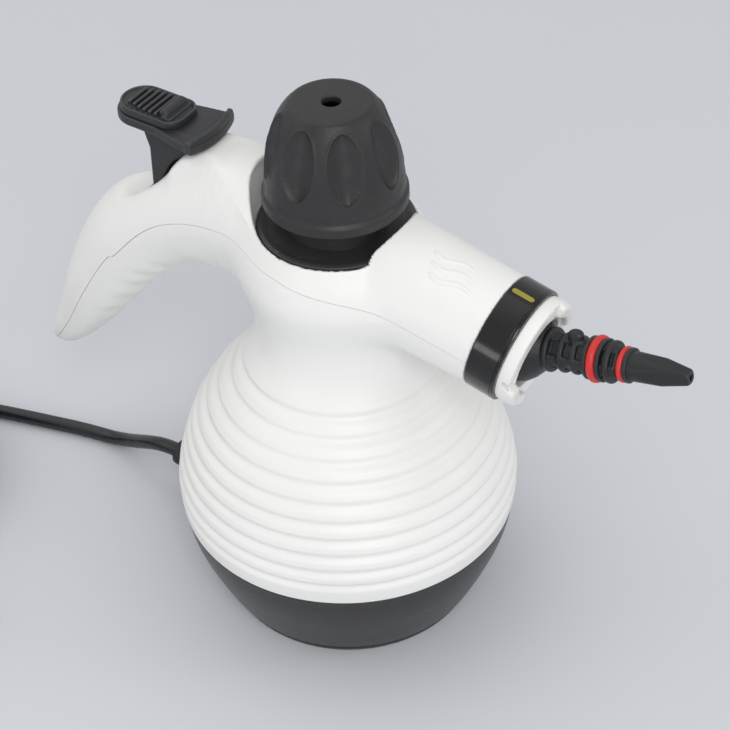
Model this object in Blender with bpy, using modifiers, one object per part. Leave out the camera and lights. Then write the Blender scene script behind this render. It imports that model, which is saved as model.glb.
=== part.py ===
"""Handheld steam cleaner, built as separate pieces.

Metres, +Z up. The origin is the middle of the underside of the base. +X points along the
barrel to the nozzle and -X to the handle. The barrel, handle, lever and nozzle all lie in
the upright plane Y = 0.
"""
import math

import bmesh
import bpy
from mathutils import Matrix, Vector

# Clearances and cutters
GAP = 0.0003
OVERRUN = 0.004
MERGE = 0.00001
FAR = 0.150

# Mouldings
WALL = 0.0025
EDGE = 0.0006

# Base cover
SEAM_HEIGHT = 0.0443
FOOT_INSET = 0.0160
BOWL_SHARES = ((0.0, 0.0), (0.25, 0.34), (0.6, 0.74), (1.0, 1.0))
BOWL_ROW_SHARES = (0.08, 0.28, 0.52, 0.76)

# Belly and neck of the housing
BELLY_RADIUS = 0.0670
NECK_RADIUS = 0.0321
NECK_HEIGHT = 0.1367
BELLY_SHARES = (
    (0.0, 0.977), (0.143, 1.0), (0.286, 0.917), (0.429, 0.782),
    (0.571, 0.556), (0.714, 0.246), (0.857, 0.037), (1.0, 0.0),
)
SEAM_RADIUS = NECK_RADIUS + (BELLY_RADIUS - NECK_RADIUS) * BELLY_SHARES[0][1]
FOOT_RADIUS = SEAM_RADIUS - FOOT_INSET
RIB_START = 0.0091
RIB_PITCH = 0.00657
RIB_DEPTH = 0.0010
RIB_SPAN_SHARE = 0.74
RIB_COUNT = 1 + int((NECK_HEIGHT - SEAM_HEIGHT - RIB_START) * RIB_SPAN_SHARE / RIB_PITCH)
RIB_CREST_SHARES = (0.3, 0.7)
NECK_ROW_SHARES = (0.0, 0.3, 0.62)
HOLLOW_ROW_SHARES = (0.0, 0.143, 0.286, 0.429, 0.571, 0.714, 0.857, 1.0)
SHOULDER_RADIUS = 0.0360
SHOULDER_RISE = 0.0176
SHOULDER_HEIGHT = NECK_HEIGHT + SHOULDER_RISE
RIM_RADIUS = 0.0304
RIM_RISE = 0.0201
RIM_TOP = SHOULDER_HEIGHT + RIM_RISE
WELL_DEPTH = 0.0034
WELL_FLOOR = RIM_TOP - WELL_DEPTH
WELL_RADIUS = 0.0310
SHOULDER_SHARES = ((0.5, 0.86), (0.85, 0.42), (1.0, 0.0))

# Barrel
BARREL_TILT = math.radians(13.0)
BARREL_AXIS_RISE = 0.0126
BARREL_AXIS_HEIGHT = SHOULDER_HEIGHT + BARREL_AXIS_RISE
BARREL_ROOT_RADIUS = 0.0246
BARREL_FRONT_RADIUS = 0.0214
BARREL_LENGTH = 0.0684
BARREL_STEP = 0.0011
BORE_START = 0.0360
BORE_RADIUS = 0.0178
CHANNEL_RADIUS = 0.0080
CHANNEL_START = 0.0150

# Alignment band and bayonet ring
BAND_WIDTH = 0.0116
BAND_RADIUS = 0.0218
BAND_EDGE = 0.0005
RING_LENGTH = 0.0048
RING_RADIUS = 0.0205
RING_BORE = 0.0138
LUG_HEIGHT = 0.0026
LUG_THICKNESS = 0.0038
LUG_ARC = math.radians(62.0)
LUG_PLACES = (math.radians(40.0), math.radians(220.0))

# Handle
HANDLE_REACH = 0.1480
HANDLE_ROOT_RISE = 0.0062
HANDLE_RISE = 0.1005
HANDLE_TIP_HEIGHT = SHOULDER_HEIGHT + HANDLE_ROOT_RISE - HANDLE_RISE
HANDLE_DEPTH = 0.0195
HANDLE_HALF_WIDTH = 0.0170
HANDLE_SHARES = (
    (0.060, 1.010, 1.513, 1.440), (0.230, 1.025, 1.436, 1.235), (0.351, 1.000, 1.241, 1.090),
    (0.496, 0.912, 1.059, 1.000), (0.646, 0.726, 0.995, 1.000), (0.772, 0.459, 0.815, 0.912),
    (0.863, 0.238, 0.574, 0.735), (0.938, 0.085, 0.380, 0.518), (0.993, 0.000, 0.140, 0.170),
)
GRIP_WAVES = 4
GRIP_DEPTH = 0.0012
GRIP_START_SHARE = 0.36
GRIP_END_SHARE = 0.68

# Parting line on the neck, as shares of the shoulder's radius, from the barrel's axis
PARTING_SHARES = (
    (-2.267, -0.5557), (-1.986, -0.3243), (-1.658, -0.1528), (-1.311, -0.0414), (-1.000, 0.0143),
    (-0.690, 0.0143), (-0.140, 0.0057), (0.194, -0.0371), (0.472, -0.0843), (0.750, -0.1786),
)
PARTING_HANDLE_SHARE = -2.5

# Lever
PIN_PLACE_SHARE = 0.351351
PIN_X = -HANDLE_REACH * PIN_PLACE_SHARE
PIN_RISE = 0.0307
PIN_HEIGHT = SHOULDER_HEIGHT + PIN_RISE
PIN_RADIUS = 0.0016
PIN_LENGTH = 0.0165
LEVER_TILT = math.radians(-1.5)
PLATE_RISE = 0.0060
PLATE_THICKNESS = 0.0036
PLATE_LENGTH = 0.0428
PLATE_FRONT = 0.0012
PLATE_HALF_WIDTH = 0.0138
PLATE_REAR_HALF_WIDTH = 0.0100
WAIST_SHARE = 0.86
LIP_HEIGHT = 0.0026
LIP_THICKNESS = 0.0026
LIP_BULGE = 0.0030
STEM_HALF_WIDTH = 0.0055
STEM_REACH = 0.0276
STEM_ROOT = 0.0090
STEM_DEPTH = 0.0235
STEM_FOOT_LENGTH = 0.0052
HINGE_LUG_RADIUS = 0.0042
SLOT_HALF_WIDTH = 0.0063
SLOT_CLEARANCE = 0.0025
LUG_CLEARANCE = 0.0010
SADDLE_HALF_WIDTH = 0.0105
SADDLE_RISE = 0.0034
SADDLE_SHARES = (
    (0.30, -1.4), (0.08, 0.6), (-0.06, 1.0), (-0.20, 0.55),
    (-0.27, -0.1), (-0.40, -2.1), (-0.52, -4.3), (-0.60, -5.6),
)

# Lock slider
SLIDER_FRONT = 0.0120
SLIDER_LENGTH = 0.0296
SLIDER_HALF_WIDTH = 0.0092
SLIDER_THICKNESS = 0.0024
SLIDER_RIBS = 6
SLIDER_RIB_HEIGHT = 0.0011
SLIDER_RIB_WIDTH = 0.0012
SLIDER_RIB_PITCH = 0.0026
SLIDER_RIB_HALF_LENGTH = 0.0072
GRIP_BAR_WIDTH = 0.0032
GRIP_BAR_HEIGHT = 0.0044
GRIP_BAR_HALF_LENGTH = 0.0062
TONGUE_HALF_WIDTH = 0.0018
TONGUE_LENGTH = 0.0060
SLIDER_TRAVEL = 0.0050

# Filler neck, collar and boiler
NECK_TUBE_RADIUS = 0.0150
NECK_TUBE_BORE = 0.0106
NECK_TUBE_RISE = 0.0116
NECK_TUBE_TOP = RIM_TOP + NECK_TUBE_RISE
COLLAR_RADIUS = 0.0289
COLLAR_TOP = RIM_TOP + GAP
COLLAR_DISH = 0.0012
FLANGE_CLEARANCE = 0.0130
FLANGE_WIDTH = 0.0080
FLANGE_RADIUS = BELLY_RADIUS - FLANGE_CLEARANCE
BOILER_RADIUS = FLANGE_RADIUS - FLANGE_WIDTH
BOILER_FLOOR = 0.0240
BOILER_SPLIT = 0.0640
BOILER_WALL = 0.0030
FLANGE_THICKNESS = 0.0040
GASKET_THICKNESS = 0.0012
DOME_SHARES = ((0.0, 1.0), (0.25, 0.985), (0.55, 0.86), (0.78, 0.62), (0.92, 0.38), (1.0, 0.30))
DOME_DROP = 0.0157
DOME_TOP = NECK_HEIGHT - DOME_DROP
LEG_RADIUS = 0.0045
LEG_INSET = 0.0090
LEG_CIRCLE = BOILER_RADIUS - LEG_INSET
LEG_BOTTOM = 0.0068
LEG_COUNT = 3

# Screws
SCREW_RADIUS = 0.0017
SCREW_HEAD_RADIUS = 0.0034
SCREW_HEAD_THICKNESS = 0.0022
SCREW_LENGTH = 0.0120
SCREW_RECESS = 0.0010
BOSS_RADIUS = 0.0058
BOSS_TOP = 0.0062

# Heating, thermostat and fuse
ELEMENT_INSET = 0.0170
ELEMENT_CIRCLE = BOILER_RADIUS - ELEMENT_INSET
ELEMENT_RADIUS = 0.0033
ELEMENT_OPENING = math.radians(50.0)
TERMINAL_DROP = 0.0065
THERMOSTAT_RADIUS = 0.0080
THERMOSTAT_HEIGHT = 0.0070
THERMOSTAT_RIM = 0.0022
FUSE_RADIUS = 0.0022
FUSE_LENGTH = 0.0130
FUSE_CLIP_THICKNESS = 0.0008
WIRE_RADIUS = 0.0010
WIRE_SAG = 0.0020

# Cap
CAP_RADIUS = 0.0264
SKIRT_DROP = 0.0010
CAP_BOTTOM = NECK_TUBE_TOP - SKIRT_DROP
CAP_HEIGHT = 0.0400
CAP_TOP = CAP_BOTTOM + CAP_HEIGHT
CAP_WALL = 0.0024
CAP_HOLE = 0.0033
CAP_BODY_RADIUS = 0.0246
CAP_SHARES = (
    (0.330, 1.000), (0.450, 0.980), (0.575, 0.947), (0.700, 0.880), (0.800, 0.815),
    (0.900, 0.730), (0.965, 0.642), (1.000, 0.598),
)
CAP_BEAD_SHARES = (
    (0.000, 1.000), (0.125, 1.000), (0.140, 0.972),
    (0.160, 0.985), (0.250, 0.977), (0.285, 0.934),
)
FLUTE_COUNT = 8
FLUTE_RISE = 0.0245
FLUTE_HEIGHT = CAP_BOTTOM + FLUTE_RISE
FLUTE_HALF_HEIGHT = 0.0150
FLUTE_HALF_WIDTH = 0.0092
FLUTE_DEPTH = 0.0022
FLUTE_LEAN = math.radians(15.0)
FLUTE_WALL = 0.0018
CAP_PRESS = 0.0030
RETAINER_THICKNESS = 0.0032
RETAINER_BORE = 0.0163
SEAL_ROOM = 0.0040
PLUG_FLANGE_BOTTOM = NECK_TUBE_TOP + SEAL_ROOM
PLUG_FLANGE_THICKNESS = 0.0040
PLUG_FLANGE_RADIUS = 0.0200
PLUG_STEM_RADIUS = 0.0098
PLUG_STEM_LENGTH = 0.0380
PLUG_STEM_BOTTOM = PLUG_FLANGE_BOTTOM - PLUG_STEM_LENGTH
PLUG_HUB_RADIUS = 0.0080
PLUG_HUB_RISE = 0.0215
PLUG_HUB_TOP = PLUG_FLANGE_BOTTOM + PLUG_HUB_RISE
PLUG_BORE = 0.0025
SEAT_RISE = 0.0055
SEAT_HEIGHT = PLUG_FLANGE_BOTTOM + SEAT_RISE
SEAT_BORE = 0.0048
SEAL_RADIUS = 0.0145
SEAL_BORE = 0.0101
VALVE_COVER_THICKNESS = 0.0022
VENT_HOLE = 0.0015
POPPET_RADIUS = 0.0036
POPPET_HEIGHT = 0.0060

# Springs
SPRING_WIRE = 0.0006
CAP_SPRING_RADIUS = 0.0115
CAP_SPRING_TURNS = 4
RELIEF_SPRING_RADIUS = 0.0026
RELIEF_SPRING_TURNS = 4
VALVE_SPRING_RADIUS = 0.0036
VALVE_SPRING_TURNS = 3
LEVER_SPRING_RADIUS = 0.0027
LEVER_SPRING_TURNS = 3
LEVER_SPRING_HALF_WIDTH = 0.0018
SPRING_ROOM = 0.0028
SPRING_ROOM_RADIUS = 0.00435
SPRING_STEPS = 8

# Steam valve in the handle
VALVE_REACH = 0.0294
VALVE_X = PIN_X - VALVE_REACH
VALVE_DROP = 0.0488
VALVE_FLOOR = PIN_HEIGHT - VALVE_DROP
VALVE_HEIGHT = 0.0115
VALVE_LENGTH = 0.0220
INLET_RISE = 0.0050
OUTLET_RISE = 0.0096
VALVE_HALF_WIDTH = 0.0075
PLUNGER_RADIUS = 0.0018
PLUNGER_HEAD_RADIUS = 0.0058
PLUNGER_HEAD_THICKNESS = 0.0020
PLUNGER_DEPTH = 0.0105
TUBE_RADIUS = 0.0020
NIPPLE_RADIUS = 0.0034
NIPPLE_LENGTH = 0.0050
NIPPLE_CLEARANCE = 0.0060
NIPPLE_X = -NECK_TUBE_RADIUS - NIPPLE_CLEARANCE

# Nozzle
NOZZLE_TILT = math.radians(10.8)
NOZZLE_SETBACK = 0.0030
NOZZLE_LENGTH = 0.0669
NOZZLE_FLANGE_RADIUS = 0.0172
NOZZLE_FLANGE_THICKNESS = 0.0036
NOZZLE_HUB_RADIUS = 0.0132
BELL_RADIUS = 0.0124
BELL_START = 0.0045
RIDGE_PLACES = (0.0143, 0.0200, 0.0249)
RIDGE_RADII = (0.0080, 0.0072, 0.0070)
RIDGE_WIDTH = 0.0022
CORE_RADIUS = 0.0052
SEAL_PLACES = (0.0323, 0.0425)
SEAL_RADII = (0.00845, 0.00640)
SEAL_SECTIONS = (0.0017, 0.0012)
SEAL_FLANGE_DROP = 0.0007
SEAL_FLANGE_WIDTH = 0.0014
MIDDLE_RIDGE_PLACE = 0.0380
MIDDLE_RIDGE_RADIUS = 0.0076
TIP_START = 0.0458
TIP_ROOT_RADIUS = 0.0053
TIP_SHOULDER = 0.0570
TIP_SHOULDER_RADIUS = 0.0049
TIP_RADIUS = 0.0028
TIP_BORE = 0.0011
NUB_PLACE = 0.0225
NUB_RADIUS = 0.0017
NUB_HEIGHT = 0.0092
WEB_HALF_WIDTH = 0.0011

# Strain relief
RELIEF_HEIGHT = 0.0190
RELIEF_INSET = 0.0030
RELIEF_FLANGE_X = SEAM_RADIUS - RELIEF_INSET
RELIEF_LENGTH = 0.0253
RELIEF_TIP_X = RELIEF_FLANGE_X + RELIEF_LENGTH
RELIEF_BORE_RADIUS = 0.0062
RELIEF_INNER_LENGTH = 0.0112
RELIEF_INNER_X = RELIEF_FLANGE_X - RELIEF_INNER_LENGTH
RELIEF_SHARES = (
    (0.000, 1.38), (0.085, 1.38), (0.100, 1.12), (0.300, 1.06), (0.320, 0.86), (0.380, 0.86),
    (0.400, 1.03), (0.500, 1.00), (0.520, 0.82), (0.580, 0.82), (0.600, 0.97), (0.700, 0.93),
    (0.720, 0.62), (0.780, 0.62), (0.810, 0.82), (0.870, 0.88), (0.940, 0.84), (1.000, 0.62),
)

# Cord and plug
CORD_RADIUS = 0.00315
CORD_ROUTE = (
    (-0.0888, 0.0000, 0.0190), (-0.0970, 0.0003, 0.0178), (-0.1060, 0.0016, 0.0135),
    (-0.1150, 0.0034, 0.0082), (-0.1240, 0.0044, 0.0047), (-0.1330, 0.0042, 0.0034),
    (-0.1450, 0.0022, 0.0034), (-0.1580, -0.0010, 0.0034), (-0.1720, -0.0045, 0.0034),
    (-0.1850, -0.0080, 0.0034), (-0.1985, -0.0122, 0.0034), (-0.2110, -0.0174, 0.0034),
    (-0.2214, -0.0227, 0.0038),
)
COIL_CENTRE = (-0.2090, -0.0710)
COIL_RADIUS = 0.0370
COIL_ACROSS = 3
COIL_LAYERS = 4
COIL_LIFT = 0.0014
TAIL_ROUTE = (
    (-0.2220, -0.1196, 0.0052), (-0.2139, -0.1215, 0.0054), (-0.2040, -0.1224, 0.0075),
    (-0.1938, -0.1227, 0.0125), (-0.1839, -0.1236, 0.0165), (-0.1754, -0.1248, 0.0183),
)
PLUG_START = (-0.1744, -0.1249, 0.0184)
PLUG_TURN = math.radians(-8.0)
PLUG_RADIUS = 0.0180
PLUG_SHARES = (
    (0.00, 0.40), (0.03, 0.44), (0.30, 0.50), (0.34, 0.60), (0.62, 0.66), (0.74, 0.92),
    (0.80, 1.00), (0.97, 1.00), (1.00, 0.95),
)
PLUG_LENGTH = 0.0380
PIN_SPACING = 0.0190
PLUG_PIN_RADIUS = 0.0024
PLUG_PIN_LENGTH = 0.0190
TIE_WIDTH = 0.0100
TIE_THICKNESS = 0.0008
TIE_TURN = math.radians(200.0)

# Facets
ROUND = 28
MEDIUM = 16
NOZZLE_SIDES = 14
SMALL = 10
LOFT_STEPS = 24
LOFT_SIDES = 16
TUBE_STEPS = 3
CORD_STEPS = 2
HALF_STEP = math.pi / ROUND

WHITE = ((0.83, 0.84, 0.82, 1.0), 0.36, 0.0)
BLACK = ((0.045, 0.045, 0.048, 1.0), 0.45, 0.0)
GLOSS_BLACK = ((0.020, 0.020, 0.022, 1.0), 0.12, 0.0)
RED = ((0.68, 0.055, 0.045, 1.0), 0.45, 0.0)
ALUMINIUM = ((0.62, 0.63, 0.64, 1.0), 0.42, 0.9)
STEEL = ((0.55, 0.56, 0.58, 1.0), 0.30, 1.0)
BRASS = ((0.72, 0.55, 0.26, 1.0), 0.32, 1.0)
SILICONE = ((0.62, 0.30, 0.22, 1.0), 0.55, 0.0)
RUBBER = ((0.030, 0.030, 0.033, 1.0), 0.50, 0.0)
PHENOLIC = ((0.13, 0.08, 0.05, 1.0), 0.50, 0.0)
COPPER = ((0.45, 0.20, 0.12, 1.0), 0.45, 0.0)
PTFE = ((0.85, 0.85, 0.80, 1.0), 0.50, 0.0)


def clear_scene():
    for thing in list(bpy.data.objects):
        bpy.data.objects.remove(thing, do_unlink=True)


def new_collection(name):
    made = bpy.data.collections.new(name)
    bpy.context.scene.collection.children.link(made)
    return made


clear_scene()
PARTS = new_collection("handheld_steam_cleaner")
CUTTERS = new_collection("cutters")


def finish(name, look):
    """A material of its own for each piece."""
    colour, roughness, metallic = look
    material = bpy.data.materials.new(name + "_finish")
    material.use_nodes = True
    shader = material.node_tree.nodes["Principled BSDF"]
    shader.inputs["Base Color"].default_value = colour
    shader.inputs["Roughness"].default_value = roughness
    shader.inputs["Metallic"].default_value = metallic
    return material


def add(name, data, look=None):
    """A piece goes with the parts, and a form without a look goes with the cutters."""
    made = bpy.data.objects.new(name, data)
    if look is None:
        CUTTERS.objects.link(made)
        made.hide_render = True
        made.display_type = "WIRE"
    else:
        PARTS.objects.link(made)
        made.data.materials.append(finish(name, look))
    return made


def along(direction):
    """Turns +Z to the given direction."""
    return Vector(direction).to_track_quat("Z", "Y").to_matrix().to_4x4()


def place(thing, origin=(0.0, 0.0, 0.0), direction=(0.0, 0.0, 1.0), turn=0.0):
    spin = Matrix.Rotation(turn, 4, "Z")
    thing.matrix_world = Matrix.Translation(Vector(origin)) @ along(direction) @ spin
    return thing


def turned(name, profile, look=None, steps=ROUND, loop=False):
    """A profile of radius and height, top to bottom on its outer side, turned about Z."""
    mesh = bpy.data.meshes.new(name)
    shape = bmesh.new()
    points = [shape.verts.new((radius, 0.0, height)) for radius, height in profile]
    for first, second in zip(points, points[1:]):
        shape.edges.new((first, second))
    if loop:
        shape.edges.new((points[-1], points[0]))
    shape.to_mesh(mesh)
    shape.free()
    made = add(name, mesh, look)
    screw = made.modifiers.new("turn", "SCREW")
    screw.steps = steps
    screw.render_steps = steps
    screw.use_merge_vertices = True
    screw.merge_threshold = MERGE
    screw.use_smooth_shade = True
    return made


def ring(name, inner, outer, bottom, top, look=None, steps=ROUND, edge=0.0):
    """A turned ring, with small chamfers at its outer edges where it has an edge."""
    if edge:
        side = [(outer - edge, top), (outer, top - edge), (outer, bottom + edge), (outer - edge, bottom)]
    else:
        side = [(outer, top), (outer, bottom)]
    return turned(name, [(inner, top)] + side + [(inner, bottom)], look, steps, loop=True)


def disc(name, radius, bottom, top, look=None, steps=ROUND):
    return turned(name, [(0.0, top), (radius, top), (radius, bottom), (0.0, bottom)], look, steps)


def block(name, size, centre, look=None):
    mesh = bpy.data.meshes.new(name)
    shape = bmesh.new()
    bmesh.ops.create_cube(shape, size=1.0)
    bmesh.ops.scale(shape, vec=Vector(size), verts=shape.verts)
    bmesh.ops.translate(shape, vec=Vector(centre), verts=shape.verts)
    shape.to_mesh(mesh)
    shape.free()
    return add(name, mesh, look)


def as_mesh(thing, look=None):
    """Makes the evaluated form a plain mesh object in place of the old one."""
    bpy.context.view_layer.update()
    graph = bpy.context.evaluated_depsgraph_get()
    mesh = bpy.data.meshes.new_from_object(thing.evaluated_get(graph))
    shape = bmesh.new()
    shape.from_mesh(mesh)
    bmesh.ops.remove_doubles(shape, verts=shape.verts, dist=MERGE)
    shape.to_mesh(mesh)
    shape.free()
    mesh.materials.clear()
    name = thing.name
    matrix = thing.matrix_world.copy()
    bpy.data.objects.remove(thing, do_unlink=True)
    made = add(name, mesh, look)
    made.name = name
    made.matrix_world = matrix
    return made


def plate(name, outline, half_thickness, look=None):
    """A flat outline in XZ, given as X and Z, as thick as twice half_thickness along Y."""
    curve = bpy.data.curves.new(name, "CURVE")
    curve.dimensions = "2D"
    curve.fill_mode = "BOTH"
    curve.extrude = half_thickness
    line = curve.splines.new("POLY")
    line.points.add(len(outline) - 1)
    for point, (x, z) in zip(line.points, outline):
        point.co = (x, z, 0.0, 1.0)
    line.use_cyclic_u = True
    made = add(name, curve)
    made.matrix_world = Matrix.Rotation(math.radians(90.0), 4, "X")
    return as_mesh(made, look)


def tube(name, points, radius, look=None, cyclic=False, fineness=1):
    """A round rod through the points, with filled ends."""
    curve = bpy.data.curves.new(name, "CURVE")
    curve.dimensions = "3D"
    curve.bevel_depth = radius
    curve.bevel_resolution = fineness
    curve.use_fill_caps = True
    line = curve.splines.new("POLY")
    line.points.add(len(points) - 1)
    for point, place_at in zip(line.points, points):
        point.co = (*place_at, 1.0)
    line.use_cyclic_u = cyclic
    return add(name, curve, look)


def between(points, steps):
    """Points on a smooth curve through the given ones."""
    made = []
    for index in range(len(points) - 1):
        before = points[max(index - 1, 0)]
        start = points[index]
        end = points[index + 1]
        after = points[min(index + 2, len(points) - 1)]
        for step in range(steps):
            t = step / steps
            made.append(tuple(
                0.5 * (2 * b + (c - a) * t + (2 * a - 5 * b + 4 * c - d) * t * t
                       + (3 * b - a - 3 * c + d) * t * t * t)
                for a, b, c, d in zip(before, start, end, after)
            ))
    made.append(tuple(points[-1]))
    return made


def read_off(table, share):
    """The second value of a table of pairs at a place between its first values."""
    for (low, first), (high, second) in zip(table, table[1:]):
        if share <= high:
            return first + (second - first) * (share - low) / (high - low)
    return table[-1][1]


def shape_with(thing, tool, operation):
    step = thing.modifiers.new(tool.name, "BOOLEAN")
    step.operation = operation
    step.solver = "EXACT"
    step.object = tool
    return thing


def cut(thing, *tools):
    for tool in tools:
        shape_with(thing, tool, "DIFFERENCE")
    return thing


def join(thing, *tools):
    for tool in tools:
        shape_with(thing, tool, "UNION")
    return thing


def soften(thing, width, segments=1, angle=math.radians(40.0)):
    edge = thing.modifiers.new("edges", "BEVEL")
    edge.width = width
    edge.segments = segments
    edge.limit_method = "ANGLE"
    edge.angle_limit = angle
    return thing


def coil_points(radius, bottom, top, turns, centre=(0.0, 0.0), steps=SPRING_STEPS):
    count = int(turns * steps)
    made = []
    for index in range(count + 1):
        angle = math.tau * turns * index / count
        height = bottom + (top - bottom) * index / count
        made.append((centre[0] + radius * math.cos(angle), centre[1] + radius * math.sin(angle), height))
    return made


def spring(name, points):
    return tube(name, points, SPRING_WIRE, STEEL, fineness=0)


BARREL_WAY = Vector((math.cos(BARREL_TILT), 0.0, -math.sin(BARREL_TILT)))
BARREL_ROOT = Vector((0.0, 0.0, BARREL_AXIS_HEIGHT))
BAND_START = BARREL_LENGTH + GAP
BAND_END = BAND_START + BAND_WIDTH
RING_START = BAND_END + GAP
NOZZLE_WAY = Vector((math.cos(NOZZLE_TILT), 0.0, math.sin(NOZZLE_TILT)))
NOZZLE_ROOT = BARREL_ROOT + BARREL_WAY * (BAND_END - NOZZLE_SETBACK)


def on_barrel(thing):
    """Coaxial with the barrel, with no corner of its facets on the parting plane."""
    return place(thing, BARREL_ROOT, BARREL_WAY, HALF_STEP)


def on_nozzle(thing):
    return place(thing, NOZZLE_ROOT, NOZZLE_WAY)


def across_pin(thing):
    """Coaxial with the lever's pin."""
    return place(thing, (PIN_X, 0.0, PIN_HEIGHT), (0.0, 1.0, 0.0))


BELLY_TABLE = between(BELLY_SHARES, 6)


def belly_radius(height):
    share = (height - SEAM_HEIGHT) / (NECK_HEIGHT - SEAM_HEIGHT)
    return NECK_RADIUS + (BELLY_RADIUS - NECK_RADIUS) * read_off(BELLY_TABLE, share)


def neck_points():
    """From the neck out over the shoulder and in to the rim round the collar."""
    points = [(NECK_RADIUS, NECK_HEIGHT)]
    points += [((NECK_RADIUS + SHOULDER_RADIUS) / 2, (NECK_HEIGHT + SHOULDER_HEIGHT) / 2)]
    points += [(SHOULDER_RADIUS, SHOULDER_HEIGHT)]
    for rise, width in SHOULDER_SHARES:
        radius = RIM_RADIUS + (SHOULDER_RADIUS - RIM_RADIUS) * width
        points.append((radius, SHOULDER_HEIGHT + (RIM_TOP - SHOULDER_HEIGHT) * rise))
    return points


def belly_points(rib_depth):
    """The side of the belly from the seam up to the neck, with a groove below each rib."""
    points = [(belly_radius(SEAM_HEIGHT), SEAM_HEIGHT + GAP)]
    for rib in range(RIB_COUNT):
        groove = SEAM_HEIGHT + RIB_START + rib * RIB_PITCH
        points.append((belly_radius(groove) - rib_depth, groove))
        if rib < RIB_COUNT - 1:
            for crest in RIB_CREST_SHARES:
                height = groove + crest * RIB_PITCH
                points.append((belly_radius(height), height))
    top = SEAM_HEIGHT + RIB_START + (RIB_COUNT - 1) * RIB_PITCH + RIB_PITCH * RIB_CREST_SHARES[0]
    for share in NECK_ROW_SHARES:
        height = top + (NECK_HEIGHT - top) * share
        points.append((belly_radius(height), height))
    return points


def body_form():
    outside = belly_points(RIB_DEPTH) + neck_points()
    outside.reverse()
    bottom = outside[-1][1]
    return turned("body_form", [(0.0, RIM_TOP)] + outside + [(0.0, bottom)])


def hollow_form():
    """The space inside the belly and neck, a wall thinner all round."""
    heights = [SEAM_HEIGHT + (NECK_HEIGHT - SEAM_HEIGHT) * share for share in HOLLOW_ROW_SHARES]
    side = [(belly_radius(height) - RIB_DEPTH - WALL, height) for height in heights]
    side[0] = (side[0][0], SEAM_HEIGHT - OVERRUN)
    top = WELL_FLOOR - WALL
    side += [(SHOULDER_RADIUS - 2 * WALL, SHOULDER_HEIGHT), (RIM_RADIUS - 2 * WALL, top)]
    side.reverse()
    return turned("hollow_form", [(0.0, top)] + side + [(0.0, side[-1][1])], steps=MEDIUM)


def barrel_form():
    """A cone that ends in the spigot under the alignment band."""
    spigot = BARREL_FRONT_RADIUS - BARREL_STEP
    profile = [
        (0.0, BAND_END), (spigot, BAND_END), (spigot, BARREL_LENGTH),
        (BARREL_FRONT_RADIUS, BARREL_LENGTH), (BARREL_ROOT_RADIUS, 0.0), (0.0, 0.0),
    ]
    return on_barrel(turned("barrel_form", profile))


def bore_form():
    profile = [
        (0.0, BAND_END + OVERRUN), (BORE_RADIUS, BAND_END + OVERRUN), (BORE_RADIUS, BORE_START),
        (CHANNEL_RADIUS, BORE_START), (CHANNEL_RADIUS, CHANNEL_START), (0.0, CHANNEL_START),
    ]
    return on_barrel(turned("bore_form", profile))


def handle_line(steps=LOFT_STEPS):
    """Points along the handle: place, height, half depth and half width."""
    table = []
    for reach, rise, depth, width in HANDLE_SHARES:
        table.append((
            -reach * HANDLE_REACH, HANDLE_TIP_HEIGHT + rise * HANDLE_RISE,
            depth * HANDLE_DEPTH, width * HANDLE_HALF_WIDTH,
        ))
    return between(table, steps // (len(table) - 1))


def loft(name, stations, ripple=0.0, thinner=0.0, sides=LOFT_SIDES, look=None):
    """Ovals square to a line in the XZ plane, joined up, with a grip rippled into the underside."""
    mesh = bpy.data.meshes.new(name)
    shape = bmesh.new()
    rings = []
    last = len(stations) - 1
    for index, (x, z, depth, width) in enumerate(stations):
        before = stations[max(index - 1, 0)]
        after = stations[min(index + 1, last)]
        way = Vector((after[0] - before[0], 0.0, after[1] - before[1])).normalized()
        up = Vector((way.z, 0.0, -way.x))
        share = index / last
        wave = 0.0
        if GRIP_START_SHARE < share < GRIP_END_SHARE:
            phase = (share - GRIP_START_SHARE) / (GRIP_END_SHARE - GRIP_START_SHARE)
            wave = ripple * math.sin(math.pi * GRIP_WAVES * phase) ** 2
        oval = []
        for side in range(sides):
            angle = math.tau * (side + 0.5) / sides
            reach = (depth - thinner) * math.cos(angle)
            if reach < 0.0:
                reach -= wave * math.cos(angle) ** 2
            place_at = Vector((x, 0.0, z)) + up * reach
            place_at.y = (width - thinner) * math.sin(angle)
            oval.append(shape.verts.new(place_at))
        rings.append(oval)
    for first, second in zip(rings, rings[1:]):
        for side in range(sides):
            following = (side + 1) % sides
            shape.faces.new((first[side], first[following], second[following], second[side]))
    shape.faces.new(rings[0])
    shape.faces.new(list(reversed(rings[-1])))
    bmesh.ops.recalc_face_normals(shape, faces=shape.faces)
    shape.to_mesh(mesh)
    shape.free()
    return add(name, mesh, look)


def saddle_form():
    """The raised walls either side of the lever's slot, which hold the pin."""
    top = PIN_HEIGHT + SADDLE_RISE
    reach = HANDLE_DEPTH * 2
    outline = [(PIN_X + share * reach, top - (1.0 - rise) * SADDLE_RISE) for share, rise in SADDLE_SHARES]
    outline += [(outline[-1][0], top - HANDLE_DEPTH * 1.5), (outline[0][0], top - HANDLE_DEPTH * 1.5)]
    form = plate("saddle_form", outline, SADDLE_HALF_WIDTH)
    return as_mesh(soften(form, SADDLE_RISE / 3))


def slot_form():
    """The opening in the top of the handle that the stem and hinge lug go through."""
    front = PIN_X + HINGE_LUG_RADIUS + LUG_CLEARANCE
    rear = PIN_X - STEM_REACH - SLOT_CLEARANCE
    bottom = PIN_HEIGHT - HANDLE_DEPTH * 2
    top = PIN_HEIGHT + HANDLE_DEPTH
    size = (front - rear, SLOT_HALF_WIDTH * 2, top - bottom)
    return block("slot_form", size, ((front + rear) / 2, 0.0, (top + bottom) / 2))


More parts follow.
